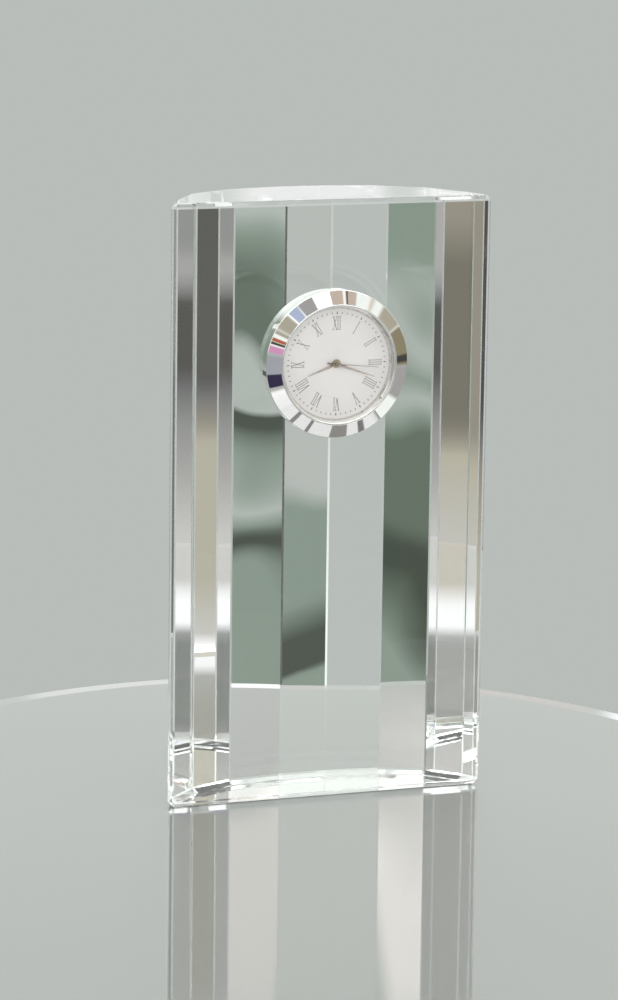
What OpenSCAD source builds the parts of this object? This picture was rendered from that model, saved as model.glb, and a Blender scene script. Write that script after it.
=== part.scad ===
// Crystal desk clock: a cut crystal block that stands on its foot, with a
// small quartz clock pressed into a blind bore in its front face.
// X is to the right, Y to the back and Z up. The origin is on the table,
// under the middle of the whole clock. The clock insert is drawn in its own
// frame: its z is 0 at the crystal's front face and grows towards the viewer.

/* [Crystal block] */
// Width of the block across its front
block_w = 82; // [74:0.5:110]
// Height of the block
block_h = 150; // [130:1:200]
// Thickness of the block through its middle
block_depth = 30; // [27:0.5:45]
// Bevel on the two upright front edges
front_bevel = 0.8; // [0.4:0.1:1.5]
// Flat strip left at each side, behind the front bevel
side_flat = 1.2; // [0.6:0.1:3]
// Bevel round the top
top_bevel = 1.05; // [0.4:0.05:2]
// Bevel round the foot
foot_bevel = 1.3; // [0.4:0.05:2]
// Width from the front of each back facet next to the middle one
inner_facet_w = 14; // [10:0.5:18]
// How much that facet falls away from the back
inner_facet_fall = 2.6; // [1:0.1:4]
// Width from the front of each second back facet
second_facet_w = 11.1; // [8:0.1:14]
// How much the second facet falls away
second_facet_fall = 7; // [4:0.1:8.5]
// Width from the front of each third back facet
third_facet_w = 7.4; // [4:0.1:9]
// How much the third facet falls away
third_facet_fall = 11.4; // [8:0.1:12]
// Width from the front of each outermost back facet
outer_facet_w = 2.5; // [1.5:0.1:5]

/* [Bore for the clock] */
// Diameter of the blind bore
bore_d = 35; // [33:0.1:38]
// Depth of the blind bore
bore_deep = 7.2; // [6:0.1:10]
// Clearance between the grip ring and the bore, on the radius
grip_gap = 0.1; // [0.05:0.01:0.3]
// Middle of the dial below the top of the block
dial_below_top = 39.9; // [30:0.1:60]

/* [Bezel and glass] */
// How far the bezel reaches past the edge of the bore
bezel_over = 0.75; // [0.3:0.05:2]
// Wall of the bezel's upright rim
bezel_wall = 0.6; // [0.4:0.05:0.65]
// Rise of the bezel's face from its rim to its lip
bezel_rise = 1.3; // [0.8:0.05:1.6]
// How far the bezel's lip reaches over the glass
lip_over = 0.8; // [0.5:0.05:1.2]
// Width of the rounded lip
lip_w = 0.45; // [0.2:0.05:0.8]
// Thickness of the lip over the glass
lip_t = 0.5; // [0.3:0.05:0.8]
// How far the glass reaches past the dial, all round
glass_over = 0.4; // [0.2:0.05:0.5]
// Thickness of the glass
glass_t = 0.8; // [0.5:0.05:1.2]
// Width of the seal round the glass
glass_seal_w = 0.3; // [0.2:0.02:0.4]
// Space for the hands between the dial and the glass
hand_room = 1.2; // [1.1:0.05:1.8]

/* [Dial] */
// Width of the polished ring that stands on the dial's edge
dial_ring_w = 0.9; // [0.5:0.05:1.4]
// Thickness of the dial plate
dial_t = 0.4; // [0.3:0.05:0.6]
// Back of the dial above the crystal's face
dial_back_z = 1.8; // [1.7:0.05:2.4]
// Radius of the numerals' inner ends
numeral_r = 8.4; // [7:0.1:9]
// Height of the numerals
numeral_h = 3.25; // [2:0.05:3.4]
// Radius of the middle of the minute marks
track_r = 12.5; // [12:0.1:13.2]
// Length of a minute mark
minute_mark = 0.42; // [0.2:0.02:0.7]
// Length of a five minute mark
hour_mark = 0.6; // [0.3:0.02:0.9]
// Thickness of the printing
ink_t = 0.04; // [0.02:0.01:0.08]
// Width of a thick printed stroke
thick_stroke = 0.17; // [0.1:0.01:0.25]
// Width of a thin printed stroke
thin_stroke = 0.09; // [0.05:0.01:0.15]

/* [Case] */
// Thickness of the rubber grip ring
grip_wall = 2.2; // [1.4:0.1:3]
// Depth of a groove in the grip ring
grip_groove = 0.7; // [0.3:0.05:1]
// Wall of the case
case_wall = 0.9; // [0.7:0.05:1.2]
// Depth of the case behind the crystal's face
case_behind = 5.2; // [4.9:0.1:5.6]
// Width of the case's ledge that the dial lies on
dial_ledge = 0.6; // [0.4:0.05:0.7]
// How far the case's shoulder stands out to carry the bezel
shoulder_over = 1; // [0.7:0.05:1.4]
// Height of that shoulder
shoulder_h = 0.9; // [0.6:0.05:1.2]
// Thickness of the back cover
back_t = 0.5; // [0.3:0.05:0.6]
// Thickness of the back seal
seal_t = 0.5; // [0.3:0.05:0.6]
// Width of the back seal
seal_w = 0.6; // [0.45:0.05:0.8]
// Width of the step in the case that the back cover lies in
back_step = 0.4; // [0.25:0.05:0.55]

/* [Hands] */
// Hour that the clock shows
show_hour = 8; // [0:1:11]
// Minute that the clock shows
show_minute = 18; // [0:1:59]
// Second that the clock shows
show_second = 16; // [0:1:59]
// Length of the hour hand
hour_hand_l = 8; // [6:0.1:8.3]
// Length of the minute hand
minute_hand_l = 10.4; // [9:0.1:12]
// Length of the seconds hand
seconds_hand_l = 10.8; // [9:0.1:12]
// Length of the seconds hand's tail
tail_l = 2.7; // [1.5:0.1:4]
// Width of the hour hand at its root
hour_hand_w = 0.8; // [0.5:0.05:1.2]
// Width of the minute hand at its root
minute_hand_w = 0.7; // [0.4:0.05:1]
// Width of the seconds hand
seconds_hand_w = 0.15; // [0.1:0.01:0.25]
// Width of the seconds hand's tail
tail_w = 0.42; // [0.25:0.01:0.6]
// Thickness of the hour and minute hands
hand_t = 0.13; // [0.1:0.01:0.16]
// Thickness of the seconds hand
seconds_hand_t = 0.08; // [0.06:0.01:0.12]

/* [Movement] */
// Diameter of the main plate
plate_d = 22; // [21.5:0.1:24]
// Thickness of the main plate
plate_t = 1; // [0.9:0.05:1.1]
// Back of the main plate behind the crystal's face
plate_back = 0.4; // [0.3:0.05:0.5]
// Width of the main plate's raised rim
rim_w = 1.2; // [0.6:0.1:1.6]
// Space between the main plate and the train bridge
train_room = 2; // [1.95:0.05:2.2]
// Thickness of the train bridge
bridge_t = 0.6; // [0.4:0.05:0.8]
// Width of the train bridge's arms
bridge_w = 2.2; // [1.6:0.1:2.4]
// Diameter of a bridge pillar
pillar_d = 1.6; // [1.2:0.1:1.7]
// Diameter of the movement's screws
screw_d = 0.7; // [0.5:0.05:0.8]
// Diameter of the screw heads
screw_head_d = 1.3; // [1:0.05:1.5]
// Height of the screw heads
screw_head_h = 0.3; // [0.2:0.05:0.4]
// Diameter of the wheels' arbors
arbor_d = 0.24; // [0.16:0.01:0.26]
// Running clearance of a turning piece, on the radius
run_gap = 0.05; // [0.03:0.01:0.07]
// Seated clearance between fixed pieces, on the radius
seat_gap = 0.02; // [0.01:0.01:0.04]

/* [Wheels] */
// Thickness of a wheel
wheel_t = 0.22; // [0.15:0.01:0.24]
// Teeth of a small pinion
pinion_teeth = 8; // [7:1:9]
// Teeth of the fourth wheel, which carries the seconds hand
fourth_teeth = 48; // [46:1:50]
// Teeth of the fifth wheel
fifth_teeth = 40; // [38:1:42]
// Teeth of the third wheel
third_teeth = 60; // [58:1:62]
// Teeth of the centre wheel
centre_teeth = 64; // [62:1:66]
// Teeth of the cannon pinion
cannon_teeth = 10; // [9:1:11]
// Teeth of the minute wheel
minute_teeth = 30; // [28:1:31]
// Teeth of the hour wheel
hour_teeth = 32; // [30:1:33]
// Teeth of the setting wheel
setting_teeth = 12; // [10:1:13]
// Tooth size of the fourth wheel and the fifth pinion
fourth_module = 0.13; // [0.128:0.001:0.135]
// Tooth size of the fifth wheel and the rotor pinion
fifth_module = 0.12; // [0.11:0.005:0.125]
// Distance from the middle to the third wheel
third_reach = 3.6; // [3.55:0.01:3.7]
// Tooth size of the wheels under the dial
motion_module = 0.16; // [0.15:0.005:0.165]
// Share of the tooth pitch left as play
tooth_play = 0.1; // [0.06:0.01:0.14]

/* [Motor and battery] */
// Diameter of the rotor's magnet
magnet_d = 2; // [1.6:0.1:2.2]
// Length of the rotor's magnet
magnet_l = 0.8; // [0.6:0.05:0.9]
// Air gap round the magnet
stator_gap = 0.2; // [0.1:0.05:0.3]
// Thickness of the stator
stator_t = 0.5; // [0.4:0.05:0.6]
// Diameter of the coil
coil_d = 1.7; // [1.4:0.1:1.9]
// Length of the coil
coil_l = 7; // [6:0.1:7.6]
// Diameter of the battery
cell_d = 6.8; // [6:0.1:6.9]
// Thickness of the battery
cell_t = 2.6; // [2.1:0.1:2.7]
// Thickness of the contact strips
contact_t = 0.1; // [0.08:0.01:0.15]
// Thickness of the circuit board
board_t = 0.35; // [0.2:0.05:0.5]
// Diameter of the quartz can
can_d = 1.5; // [1.2:0.1:1.8]
// Length of the quartz can
can_l = 4.2; // [3.6:0.1:4.6]

/* [Crown and stem] */
// Depth of the stem's axis behind the crystal's face
stem_deep = 1.4; // [1.3:0.05:1.5]
// Diameter of the stem
stem_d = 0.9; // [0.7:0.05:1]
// Width of the stem's square end
stem_square = 0.5; // [0.4:0.02:0.56]
// Travel of the crown when it is pulled out
crown_travel = 0.6; // [0.3:0.05:0.7]
// Diameter of the crown
crown_d = 2.3; // [1.8:0.1:2.4]
// Length of the crown
crown_l = 1.25; // [0.8:0.05:1.3]

/* [Hidden] */
$fn = 64;

// How far a cutter reaches past what it cuts
over = 1;

// Radii of the insert, from the bore inwards and from the dial outwards
bore_r = bore_d / 2;
bezel_r = bore_r + bezel_over;
grip_r = bore_r - grip_gap;
case_r = grip_r - grip_wall;
shoulder_r = case_r + shoulder_over;
case_inner_r = case_r - case_wall;
back_seat_r = case_inner_r + back_step;
dial_r = case_inner_r + dial_ledge;
dial_view_r = dial_r - dial_ring_w;
glass_r = dial_r + glass_over;
neck_r = glass_r + glass_seal_w;
lip_r = glass_r - lip_over;

// Places on the block
bezel_front_z = dial_back_z + dial_t + hand_room + glass_t + lip_t;
front_y = (bezel_front_z - block_depth) / 2;
dial_z = block_h - dial_below_top;

// Levels of the insert, from the glass to the back cover
dial_face_z = dial_back_z + dial_t;
glass_back_z = dial_face_z + hand_room;
glass_front_z = glass_back_z + glass_t;
rim_z = bezel_front_z - bezel_rise;
back_z = -case_behind;
back_seat_z = back_z + back_t;
seal_front_z = back_seat_z + seal_t;

// Levels of the movement, from the dial to the bridge
plate_back_z = -plate_back;
plate_face_z = plate_back_z + plate_t;
bridge_z = plate_back_z - train_room;
bridge_back_z = bridge_z - bridge_t;
cell_front_z = plate_back_z - contact_t;
cell_back_z = cell_front_z - cell_t;

// Levels of the wheels, each the back of its rim
motion_z = plate_face_z + 0.1;
hour_wheel_z = motion_z + 0.45;
centre_wheel_z = plate_back_z - 0.1 - wheel_t;
third_wheel_z = centre_wheel_z - 0.28 - wheel_t;
fourth_wheel_z = third_wheel_z - 0.16 - wheel_t;
fifth_wheel_z = fourth_wheel_z - 0.16 - wheel_t;

// Levels of the hands, each the back of the hand
hour_hand_z = dial_face_z + 0.25;
minute_hand_z = hour_hand_z + hand_t + 0.17;
seconds_hand_z = minute_hand_z + hand_t + 0.17;

// Radii of the pieces that turn inside each other at the middle
arbor_r = arbor_d / 2;
tube_bore_r = arbor_r + run_gap;
tube_r = tube_bore_r + 0.18;
cannon_bore_r = tube_r + run_gap;
cannon_r = cannon_bore_r + 0.2;
pipe_bore_r = cannon_r + run_gap;
pipe_r = pipe_bore_r + 0.25;

// Places of the wheels across the movement
third_module = 2 * third_reach / (pinion_teeth + third_teeth);
centre_module = 2 * third_reach / (pinion_teeth + centre_teeth);
fifth_reach = fourth_module * (fourth_teeth + pinion_teeth) / 2;
rotor_reach = fifth_module * (fifth_teeth + pinion_teeth) / 2;
minute_reach = motion_module * (cannon_teeth + minute_teeth) / 2;
hour_module = 2 * minute_reach / (pinion_teeth + hour_teeth);
setting_reach = motion_module * (minute_teeth + setting_teeth) / 2;
third_way = 90;
fifth_way = -45;
rotor_way = -110;
minute_way = 35;
setting_way = -38;
third_at = third_reach * [cos(third_way), sin(third_way)];
fifth_at = fifth_reach * [cos(fifth_way), sin(fifth_way)];
rotor_at = fifth_at + rotor_reach * [cos(rotor_way), sin(rotor_way)];
minute_at = minute_reach * [cos(minute_way), sin(minute_way)];
setting_at = minute_at + setting_reach * [cos(setting_way), sin(setting_way)];

// Places of the fixed pieces across the movement
pillars = [[-3.6, -2.6], [4.6, 3], [-3.8, 6.8], [6.4, -3.4]];
cell_at = [-6.76, 1.81];
clamp_way = 75;
clamp_reach = cell_d / 2 + 0.9;
clamp_w = 1.2;
clamp_ends = [for (side = [-1, 1]) cell_at + side * clamp_reach * [cos(clamp_way), sin(clamp_way)]];
strip_route = [cell_at, [-7.2, 6.2], [-3, 9], [3.3, 8.9]];
board_outline = [[3.7, 4.6], [9.2, 4.6], [6, 8.6], [3.7, 9.6]];
chip_size = [1.8, 1.4, 0.6];
chip_at = board_outline[0] + [0.5, 2.4];
can_at = board_outline[0] + [0.4, 1];
stator_x = [-4.6, 5.4];
coil_reach = 3;
coil_y = rotor_at.y - coil_reach;

// Stem, from its inner end to the crown
clutch_x = [5.2, 6.4];
stem_inner_x = 4.9;
groove_w = 0.6;
groove_x = clutch_x[1] + 0.35;
groove_r = stem_d / 4;
stem_block_x = groove_x + groove_w + crown_travel + 0.6;
crown_x = case_r + 0.15;
crown_clear = 0.4;
lever_w = 0.35;
lever_t = 0.25;
lever_reach = 3.35;
lever_swing = asin(crown_travel / 2 / lever_reach);
lever_at = [groove_x + groove_w / 2 + crown_travel / 2, groove_r + 0.04 + lever_reach];

// Angles of the hands, clockwise from twelve
seconds_turn = 6 * show_second;
minute_turn = 6 * show_minute + seconds_turn / 60;
hour_turn = 30 * show_hour + minute_turn / 12;

// Gear teeth: involute flanks above the base circle, radial ones below it
pressure = 20;
function involute(angle) = tan(angle) * 180 / PI - angle;
function half_tooth(r, pitch_r, teeth) =
    let (base_r = pitch_r * cos(pressure))
    90 / teeth * (1 - tooth_play) + involute(pressure) - (r > base_r ? involute(acos(base_r / r)) : 0);
function spot(r, angle) = r * [cos(angle), sin(angle)];
function tooth_radii(teeth, size, add) =
    [size * (teeth / 2 - 1.25), size * teeth / 2 * 0.97, size * teeth / 2, size * (teeth / 2 + add)];
function gear_outline(teeth, size, add) =
    let (radii = tooth_radii(teeth, size, add))
    [for (i = [0 : teeth - 1])
        each [
            for (r = radii) spot(r, 360 / teeth * i - half_tooth(r, radii[2], teeth)),
            for (k = [3 : -1 : 0]) spot(radii[k], 360 / teeth * i + half_tooth(radii[k], radii[2], teeth))
        ]
    ];
// Turn of gear b that puts its teeth into the gaps of gear a, which lies
// the other way along the line at angle way
function mesh_turn(way, turn_a, teeth_a, teeth_b) =
    way + 180 - 180 / teeth_b + (way - turn_a) * teeth_a / teeth_b;

module gear(teeth, size, thick, turn = 0, add = 0.75) {
    rotate(turn) linear_extrude(thick) polygon(gear_outline(teeth, size, add));
}

// Puts what is drawn in the insert's frame onto the block
module insert_frame() {
    translate([0, front_y, dial_z]) rotate([90, 0, 0]) children();
}

// Puts a piece at a place across the movement and a level of it
module seat(at, z) {
    translate([at.x, at.y, z]) children();
}

module ring(outer_r, inner_r, height) {
    difference() {
        cylinder(r = outer_r, h = height);
        translate([0, 0, -over]) cylinder(r = inner_r, h = height + 2 * over);
    }
}

// A flat bar with round ends between two places
module bar(from, to, width, height) {
    way = atan2(to.y - from.y, to.x - from.x);
    seat(from, 0) cylinder(d = width, h = height);
    seat(to, 0) cylinder(d = width, h = height);
    seat(from, 0) rotate(way) translate([0, -width / 2, 0]) cube([norm(to - from), width, height]);
}

// A wheel with its rim of teeth, round windows between its arms, and a hub
module train_wheel(teeth, size, turn, windows = 5) {
    pitch_r = teeth * size / 2;
    difference() {
        gear(teeth, size, wheel_t, turn);
        for (i = [1 : windows])
            rotate(360 / windows * i) translate([pitch_r * 0.55, 0, -over])
                cylinder(r = pitch_r * 0.24, h = wheel_t + 2 * over);
    }
}

// Crystal block
plan_outline = let (
    half = block_w / 2,
    side_y = front_bevel + side_flat,
    third_x = half - outer_facet_w,
    second_x = third_x - third_facet_w,
    inner_x = second_x - second_facet_w,
    middle_x = inner_x - inner_facet_w,
    inner_y = block_depth - inner_facet_fall,
    second_y = inner_y - second_facet_fall,
    third_y = second_y - third_facet_fall,
    right = [[half - front_bevel, 0], [half, front_bevel], [half, side_y], [third_x, third_y],
        [second_x, second_y], [inner_x, inner_y], [middle_x, block_depth]]
) [each right, for (i = [len(right) - 1 : -1 : 0]) [-right[i].x, right[i].y]];

// Cuts the bevel along one edge of the outline, at the top of what it is on
module edge_cut(from, to, bevel) {
    past = 3 * bevel;
    run = to - from;
    translate([from.x, from.y, 0]) rotate([0, 0, atan2(run.y, run.x)]) rotate([45, 0, 0])
        translate([-past, -2 * bevel, -bevel / sqrt(2)])
            cube([norm(run) + 2 * past, 4 * bevel, 4 * bevel]);
}

module outline_bevels(bevel) {
    count = len(plan_outline);
    for (i = [0 : count - 1]) edge_cut(plan_outline[i], plan_outline[(i + 1) % count], bevel);
}

module crystal_block() {
    color([0.86, 0.93, 0.9, 0.4]) difference() {
        translate([0, front_y, 0]) difference() {
            linear_extrude(block_h) polygon(plan_outline);
            translate([0, 0, block_h]) outline_bevels(top_bevel);
            mirror([0, 0, 1]) outline_bevels(foot_bevel);
        }
        insert_frame() translate([0, 0, -bore_deep]) cylinder(r = bore_r, h = bore_deep + over);
    }
}

// Bezel, glass and dial
module bezel() {
    edge = 0.18;
    rim_inner_r = bezel_r - bezel_wall;
    color([0.85, 0.85, 0.87]) insert_frame() rotate_extrude() polygon([
        [rim_inner_r, 0], [bezel_r, 0], [bezel_r, rim_z - edge], [bezel_r - edge, rim_z],
        [lip_r + lip_w, bezel_front_z - 0.1], [lip_r + lip_w / 2, bezel_front_z],
        [lip_r, bezel_front_z - 0.1], [lip_r, glass_front_z], [neck_r + seat_gap, glass_front_z],
        [neck_r + seat_gap, shoulder_h], [shoulder_r, shoulder_h], [shoulder_r, rim_z - bezel_wall],
        [rim_inner_r, rim_z - bezel_wall]
    ]);
}

module glass() {
    color([0.9, 0.95, 0.95, 0.3]) insert_frame()
        translate([0, 0, glass_back_z]) cylinder(r = glass_r, h = glass_t);
}

module glass_seal() {
    color([0.15, 0.15, 0.15]) insert_frame()
        translate([0, 0, glass_back_z]) ring(neck_r - seat_gap, glass_r + seat_gap, glass_t);
}

module dial_ring() {
    color([0.72, 0.7, 0.68]) insert_frame()
        translate([0, 0, dial_face_z]) ring(dial_r, dial_view_r, hand_room);
}

module dial() {
    color([0.93, 0.92, 0.9]) insert_frame()
        translate([0, 0, dial_back_z]) ring(dial_r, pipe_r + 0.15, dial_t);
}

// One printed stroke between two places
module stroke(from, to, width) {
    run = to - from;
    translate(from) rotate(atan2(run.y, run.x)) translate([0, -width / 2]) square([norm(run), width]);
}

numeral_names = ["XII", "I", "II", "III", "IIII", "V", "VI", "VII", "VIII", "IX", "X", "XI"];
letter_half = 0.42;
bar_pitch = 0.46;
serif = 0.2;
function letter_w(letter) = letter == "I" ? bar_pitch : 2 * letter_half + 0.16;
function width_before(name, count) =
    count == 0 ? 0 : letter_w(name[count - 1]) + width_before(name, count - 1);

module serif_at(x, y) {
    stroke([x - serif, y], [x + serif, y], thin_stroke);
}

module letter(name) {
    low = thin_stroke / 2;
    high = numeral_h - thin_stroke / 2;
    if (name == "I") {
        stroke([0, 0], [0, numeral_h], (thick_stroke + thin_stroke) / 2);
        serif_at(0, low);
        serif_at(0, high);
    }
    if (name == "V") {
        stroke([0, thin_stroke], [-letter_half, numeral_h], thick_stroke);
        stroke([0, thin_stroke], [letter_half, numeral_h], thin_stroke);
        serif_at(-letter_half, high);
        serif_at(letter_half, high);
    }
    if (name == "X") {
        stroke([letter_half, 0], [-letter_half, numeral_h], thick_stroke);
        stroke([-letter_half, 0], [letter_half, numeral_h], thin_stroke);
        for (side = [-1, 1]) {
            serif_at(side * letter_half, low);
            serif_at(side * letter_half, high);
        }
    }
}

module numerals() {
    color([0.3, 0.3, 0.32]) insert_frame() translate([0, 0, dial_face_z]) linear_extrude(ink_t)
        for (hour = [0 : 11]) rotate(-30 * hour) {
            name = numeral_names[hour];
            whole = width_before(name, len(name));
            for (i = [0 : len(name) - 1])
                translate([width_before(name, i) + letter_w(name[i]) / 2 - whole / 2, numeral_r])
                    letter(name[i]);
        }
}

module minute_track() {
    color([0.35, 0.35, 0.37]) insert_frame() translate([0, 0, dial_face_z]) linear_extrude(ink_t)
        for (minute = [0 : 59]) rotate(-6 * minute) {
            long = minute % 5 == 0 ? hour_mark : minute_mark;
            wide = minute % 5 == 0 ? thick_stroke * 1.3 : thick_stroke;
            translate([-wide / 2, track_r - long / 2]) square([wide, long]);
        }
}

// Case
module case() {
    color([0.78, 0.76, 0.7]) insert_frame() difference() {
        rotate_extrude() polygon([
            [case_inner_r, seal_front_z], [back_seat_r, seal_front_z], [back_seat_r, back_z],
            [case_r, back_z], [case_r, 0], [shoulder_r, 0], [shoulder_r, shoulder_h],
            [neck_r, shoulder_h], [neck_r, glass_back_z], [dial_r + seat_gap, glass_back_z],
            [dial_r + seat_gap, dial_back_z], [case_inner_r, dial_back_z]
        ]);
        stem_hole(stem_d / 2 + run_gap, case_r + over);
    }
}

// A hole along the stem's axis, out from the middle
module stem_hole(radius, reach) {
    translate([0, 0, -stem_deep]) rotate([0, 90, 0]) cylinder(r = radius, h = reach);
}

module grip_ring() {
    front_z = -0.2;
    window = crown_d + 2 * crown_clear;
    ribs = 4;
    pitch = (case_behind - 0.5 + front_z) / ribs;
    color([0.12, 0.12, 0.12]) insert_frame() difference() {
        union() {
            translate([0, 0, front_z - ribs * pitch]) ring(grip_r - grip_groove, case_r, ribs * pitch);
            for (i = [1 : ribs])
                translate([0, 0, front_z - i * pitch]) ring(grip_r, case_r, pitch * 0.6);
        }
        translate([0, -window / 2, back_z - over]) cube([grip_r + over, window, case_behind + 2 * over]);
    }
}

module back_cover() {
    color([0.75, 0.75, 0.76]) insert_frame() difference() {
        translate([0, 0, back_z]) cylinder(r = back_seat_r - seat_gap, h = back_t);
        translate([0, -back_seat_r, back_z - over]) cylinder(d = 1.6, h = over + back_t / 2);
    }
}

module back_seal() {
    seal_r = back_seat_r - seat_gap;
    color([0.1, 0.1, 0.1]) insert_frame()
        translate([0, 0, back_seat_z]) ring(seal_r, seal_r - seal_w, seal_t);
}

// Movement
module movement_holder() {
    holder_r = case_inner_r - seat_gap;
    color([0.9, 0.9, 0.86]) insert_frame() difference() {
        translate([0, 0, seal_front_z])
            ring(holder_r, plate_d / 2 + seat_gap, dial_back_z - seal_front_z);
        stem_hole(stem_d / 2 + 0.3, case_r);
    }
}

module main_plate() {
    plate_r = plate_d / 2;
    post_h = hour_wheel_z + wheel_t + 0.05 - plate_face_z;
    color([0.72, 0.66, 0.5]) insert_frame() difference() {
        union() {
            translate([0, 0, plate_back_z]) cylinder(r = plate_r, h = plate_t);
            translate([0, 0, plate_face_z]) ring(plate_r, plate_r - rim_w, dial_back_z - plate_face_z);
            seat(minute_at, plate_face_z) cylinder(r = arbor_r, h = post_h);
            seat(setting_at, plate_face_z) cylinder(r = arbor_r, h = post_h);
            for (at = pillars) seat(at, bridge_z) cylinder(d = pillar_d, h = train_room);
            stem_block();
            lever_post();
        }
        translate([0, 0, plate_back_z - over]) cylinder(r = tube_r + run_gap, h = plate_t + 2 * over);
        for (at = [third_at, fifth_at, rotor_at])
            seat(at, plate_back_z - over) cylinder(r = arbor_r + run_gap, h = over + plate_t * 0.7);
        for (at = pillars) seat(at, bridge_z - over) cylinder(d = screw_d, h = over + train_room);
        stem_hole(stem_d / 2 + run_gap, case_r);
    }
}

// Block on the back of the main plate that the stem runs in
module stem_block() {
    wide = stem_d + 1.2;
    back = stem_deep + stem_d / 2 + 0.4;
    intersection() {
        translate([stem_block_x, -wide / 2, -back]) cube([plate_d, wide, back + plate_back_z]);
        translate([0, 0, -back - over]) cylinder(d = plate_d, h = back + 2 * over);
    }
}

// Post that the setting lever turns on
module lever_post() {
    seat(lever_at, -stem_deep - lever_t / 2)
        cylinder(r = 2 * arbor_r, h = stem_deep + lever_t / 2 + plate_back_z);
}

bridge_arms = [[[0, 0], pillars[0]], [[0, 0], third_at], [third_at, pillars[1]], [third_at, pillars[2]],
    [[0, 0], fifth_at], [fifth_at, pillars[3]], [fifth_at, rotor_at]];

module train_bridge() {
    color([0.76, 0.76, 0.74]) insert_frame() difference() {
        for (arm = bridge_arms) translate([0, 0, bridge_back_z]) bar(arm[0], arm[1], bridge_w, bridge_t);
        for (at = [[0, 0], third_at, fifth_at, rotor_at])
            seat(at, bridge_back_z - over) cylinder(r = arbor_r + run_gap, h = bridge_t + 2 * over);
        for (at = pillars) seat(at, bridge_back_z - over) cylinder(d = screw_d, h = bridge_t + 2 * over);
    }
}

// A screw with a slotted head, whose head sits on the level z
module screw(z, length) {
    difference() {
        union() {
            translate([0, 0, z]) cylinder(d = screw_d - 2 * seat_gap, h = length);
            translate([0, 0, z - screw_head_h]) cylinder(d = screw_head_d, h = screw_head_h);
        }
        translate([-screw_head_d, -screw_head_d / 16, z - screw_head_h - over])
            cube([2 * screw_head_d, screw_head_d / 8, over + screw_head_h / 2]);
    }
}

module bridge_screws() {
    color([0.5, 0.5, 0.55]) insert_frame()
        for (at = pillars) seat(at, 0) screw(bridge_back_z, bridge_t + train_room * 0.7);
}

// Motor
stator_z = plate_back_z - 0.4 - stator_t;
lug_w = 1.5;

module stator() {
    half = 1.4;
    color([0.6, 0.6, 0.62]) insert_frame() difference() {
        union() {
            translate([stator_x[0], rotor_at.y - half, stator_z])
                cube([stator_x[1] - stator_x[0], 2 * half, stator_t]);
            for (x = [stator_x[0], stator_x[1] - lug_w])
                translate([x, coil_y - lug_w / 2, stator_z]) cube([lug_w, rotor_at.y - coil_y, stator_t]);
            for (x = [stator_x[0], stator_x[1] - lug_w])
                translate([x, rotor_at.y - half, stator_z]) cube([lug_w, lug_w, plate_back_z - stator_z]);
        }
        seat(rotor_at, stator_z - over)
            cylinder(d = magnet_d + 2 * stator_gap, h = stator_t + 2 * over);
    }
}

module coil_core() {
    color([0.55, 0.55, 0.57]) insert_frame()
        translate([stator_x[0], coil_y - lug_w / 2, stator_z - stator_t])
            cube([stator_x[1] - stator_x[0], lug_w - 0.6, stator_t]);
}

module coil_winding() {
    middle_x = (stator_x[0] + stator_x[1]) / 2;
    core_y = coil_y - 0.3;
    core_z = stator_z - stator_t / 2;
    color([0.72, 0.4, 0.2]) insert_frame() difference() {
        translate([middle_x - coil_l / 2, core_y, core_z]) rotate([0, 90, 0])
            cylinder(d = coil_d, h = coil_l);
        translate([stator_x[0], coil_y - lug_w / 2 - seat_gap, stator_z - stator_t - seat_gap])
            cube([stator_x[1] - stator_x[0], lug_w - 0.6 + 2 * seat_gap, stator_t + 2 * seat_gap]);
    }
}

module rotor_magnet() {
    color([0.35, 0.35, 0.38]) insert_frame()
        seat(rotor_at, stator_z + stator_t / 2 - magnet_l / 2) ring(magnet_d / 2, arbor_r, magnet_l);
}

module rotor_pinion() {
    turn = mesh_turn(rotor_way, 0, fifth_teeth, pinion_teeth);
    color([0.8, 0.7, 0.45]) insert_frame() {
        seat(rotor_at, fifth_wheel_z - 0.05) gear(pinion_teeth, fifth_module, wheel_t + 0.1, turn, 0.9);
        seat(rotor_at, 0) arbor();
    }
}

// Arbor of a wheel, from its hole in the bridge to its hole in the plate
module arbor() {
    foot = bridge_back_z + bridge_t * 0.3;
    translate([0, 0, foot]) cylinder(r = arbor_r, h = plate_back_z + plate_t * 0.5 - foot);
}

// Wheels of the going train
module fifth_wheel() {
    turn = mesh_turn(fifth_way, 0, fourth_teeth, pinion_teeth);
    color([0.85, 0.72, 0.4]) insert_frame() {
        seat(fifth_at, fifth_wheel_z) train_wheel(fifth_teeth, fifth_module, 0);
        seat(fifth_at, fourth_wheel_z - 0.05) gear(pinion_teeth, fourth_module, wheel_t + 0.1, turn, 0.9);
        seat(fifth_at, 0) arbor();
    }
}

module fourth_wheel() {
    color([0.85, 0.72, 0.4]) insert_frame() {
        translate([0, 0, fourth_wheel_z]) train_wheel(fourth_teeth, fourth_module, 0);
        translate([0, 0, third_wheel_z - 0.06]) gear(pinion_teeth, third_module, wheel_t + 0.12, 0, 0.9);
        translate([0, 0, bridge_back_z + bridge_t * 0.3])
            cylinder(r = arbor_r, h = seconds_hand_z + seconds_hand_t - bridge_back_z - bridge_t * 0.3);
    }
}

module third_wheel() {
    wheel_turn = mesh_turn(third_way, 0, pinion_teeth, third_teeth);
    pinion_turn = mesh_turn(third_way, 0, centre_teeth, pinion_teeth);
    color([0.85, 0.72, 0.4]) insert_frame() {
        seat(third_at, third_wheel_z) train_wheel(third_teeth, third_module, wheel_turn);
        seat(third_at, centre_wheel_z - 0.05)
            gear(pinion_teeth, centre_module, wheel_t + 0.1, pinion_turn, 0.9);
        seat(third_at, 0) arbor();
    }
}

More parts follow.
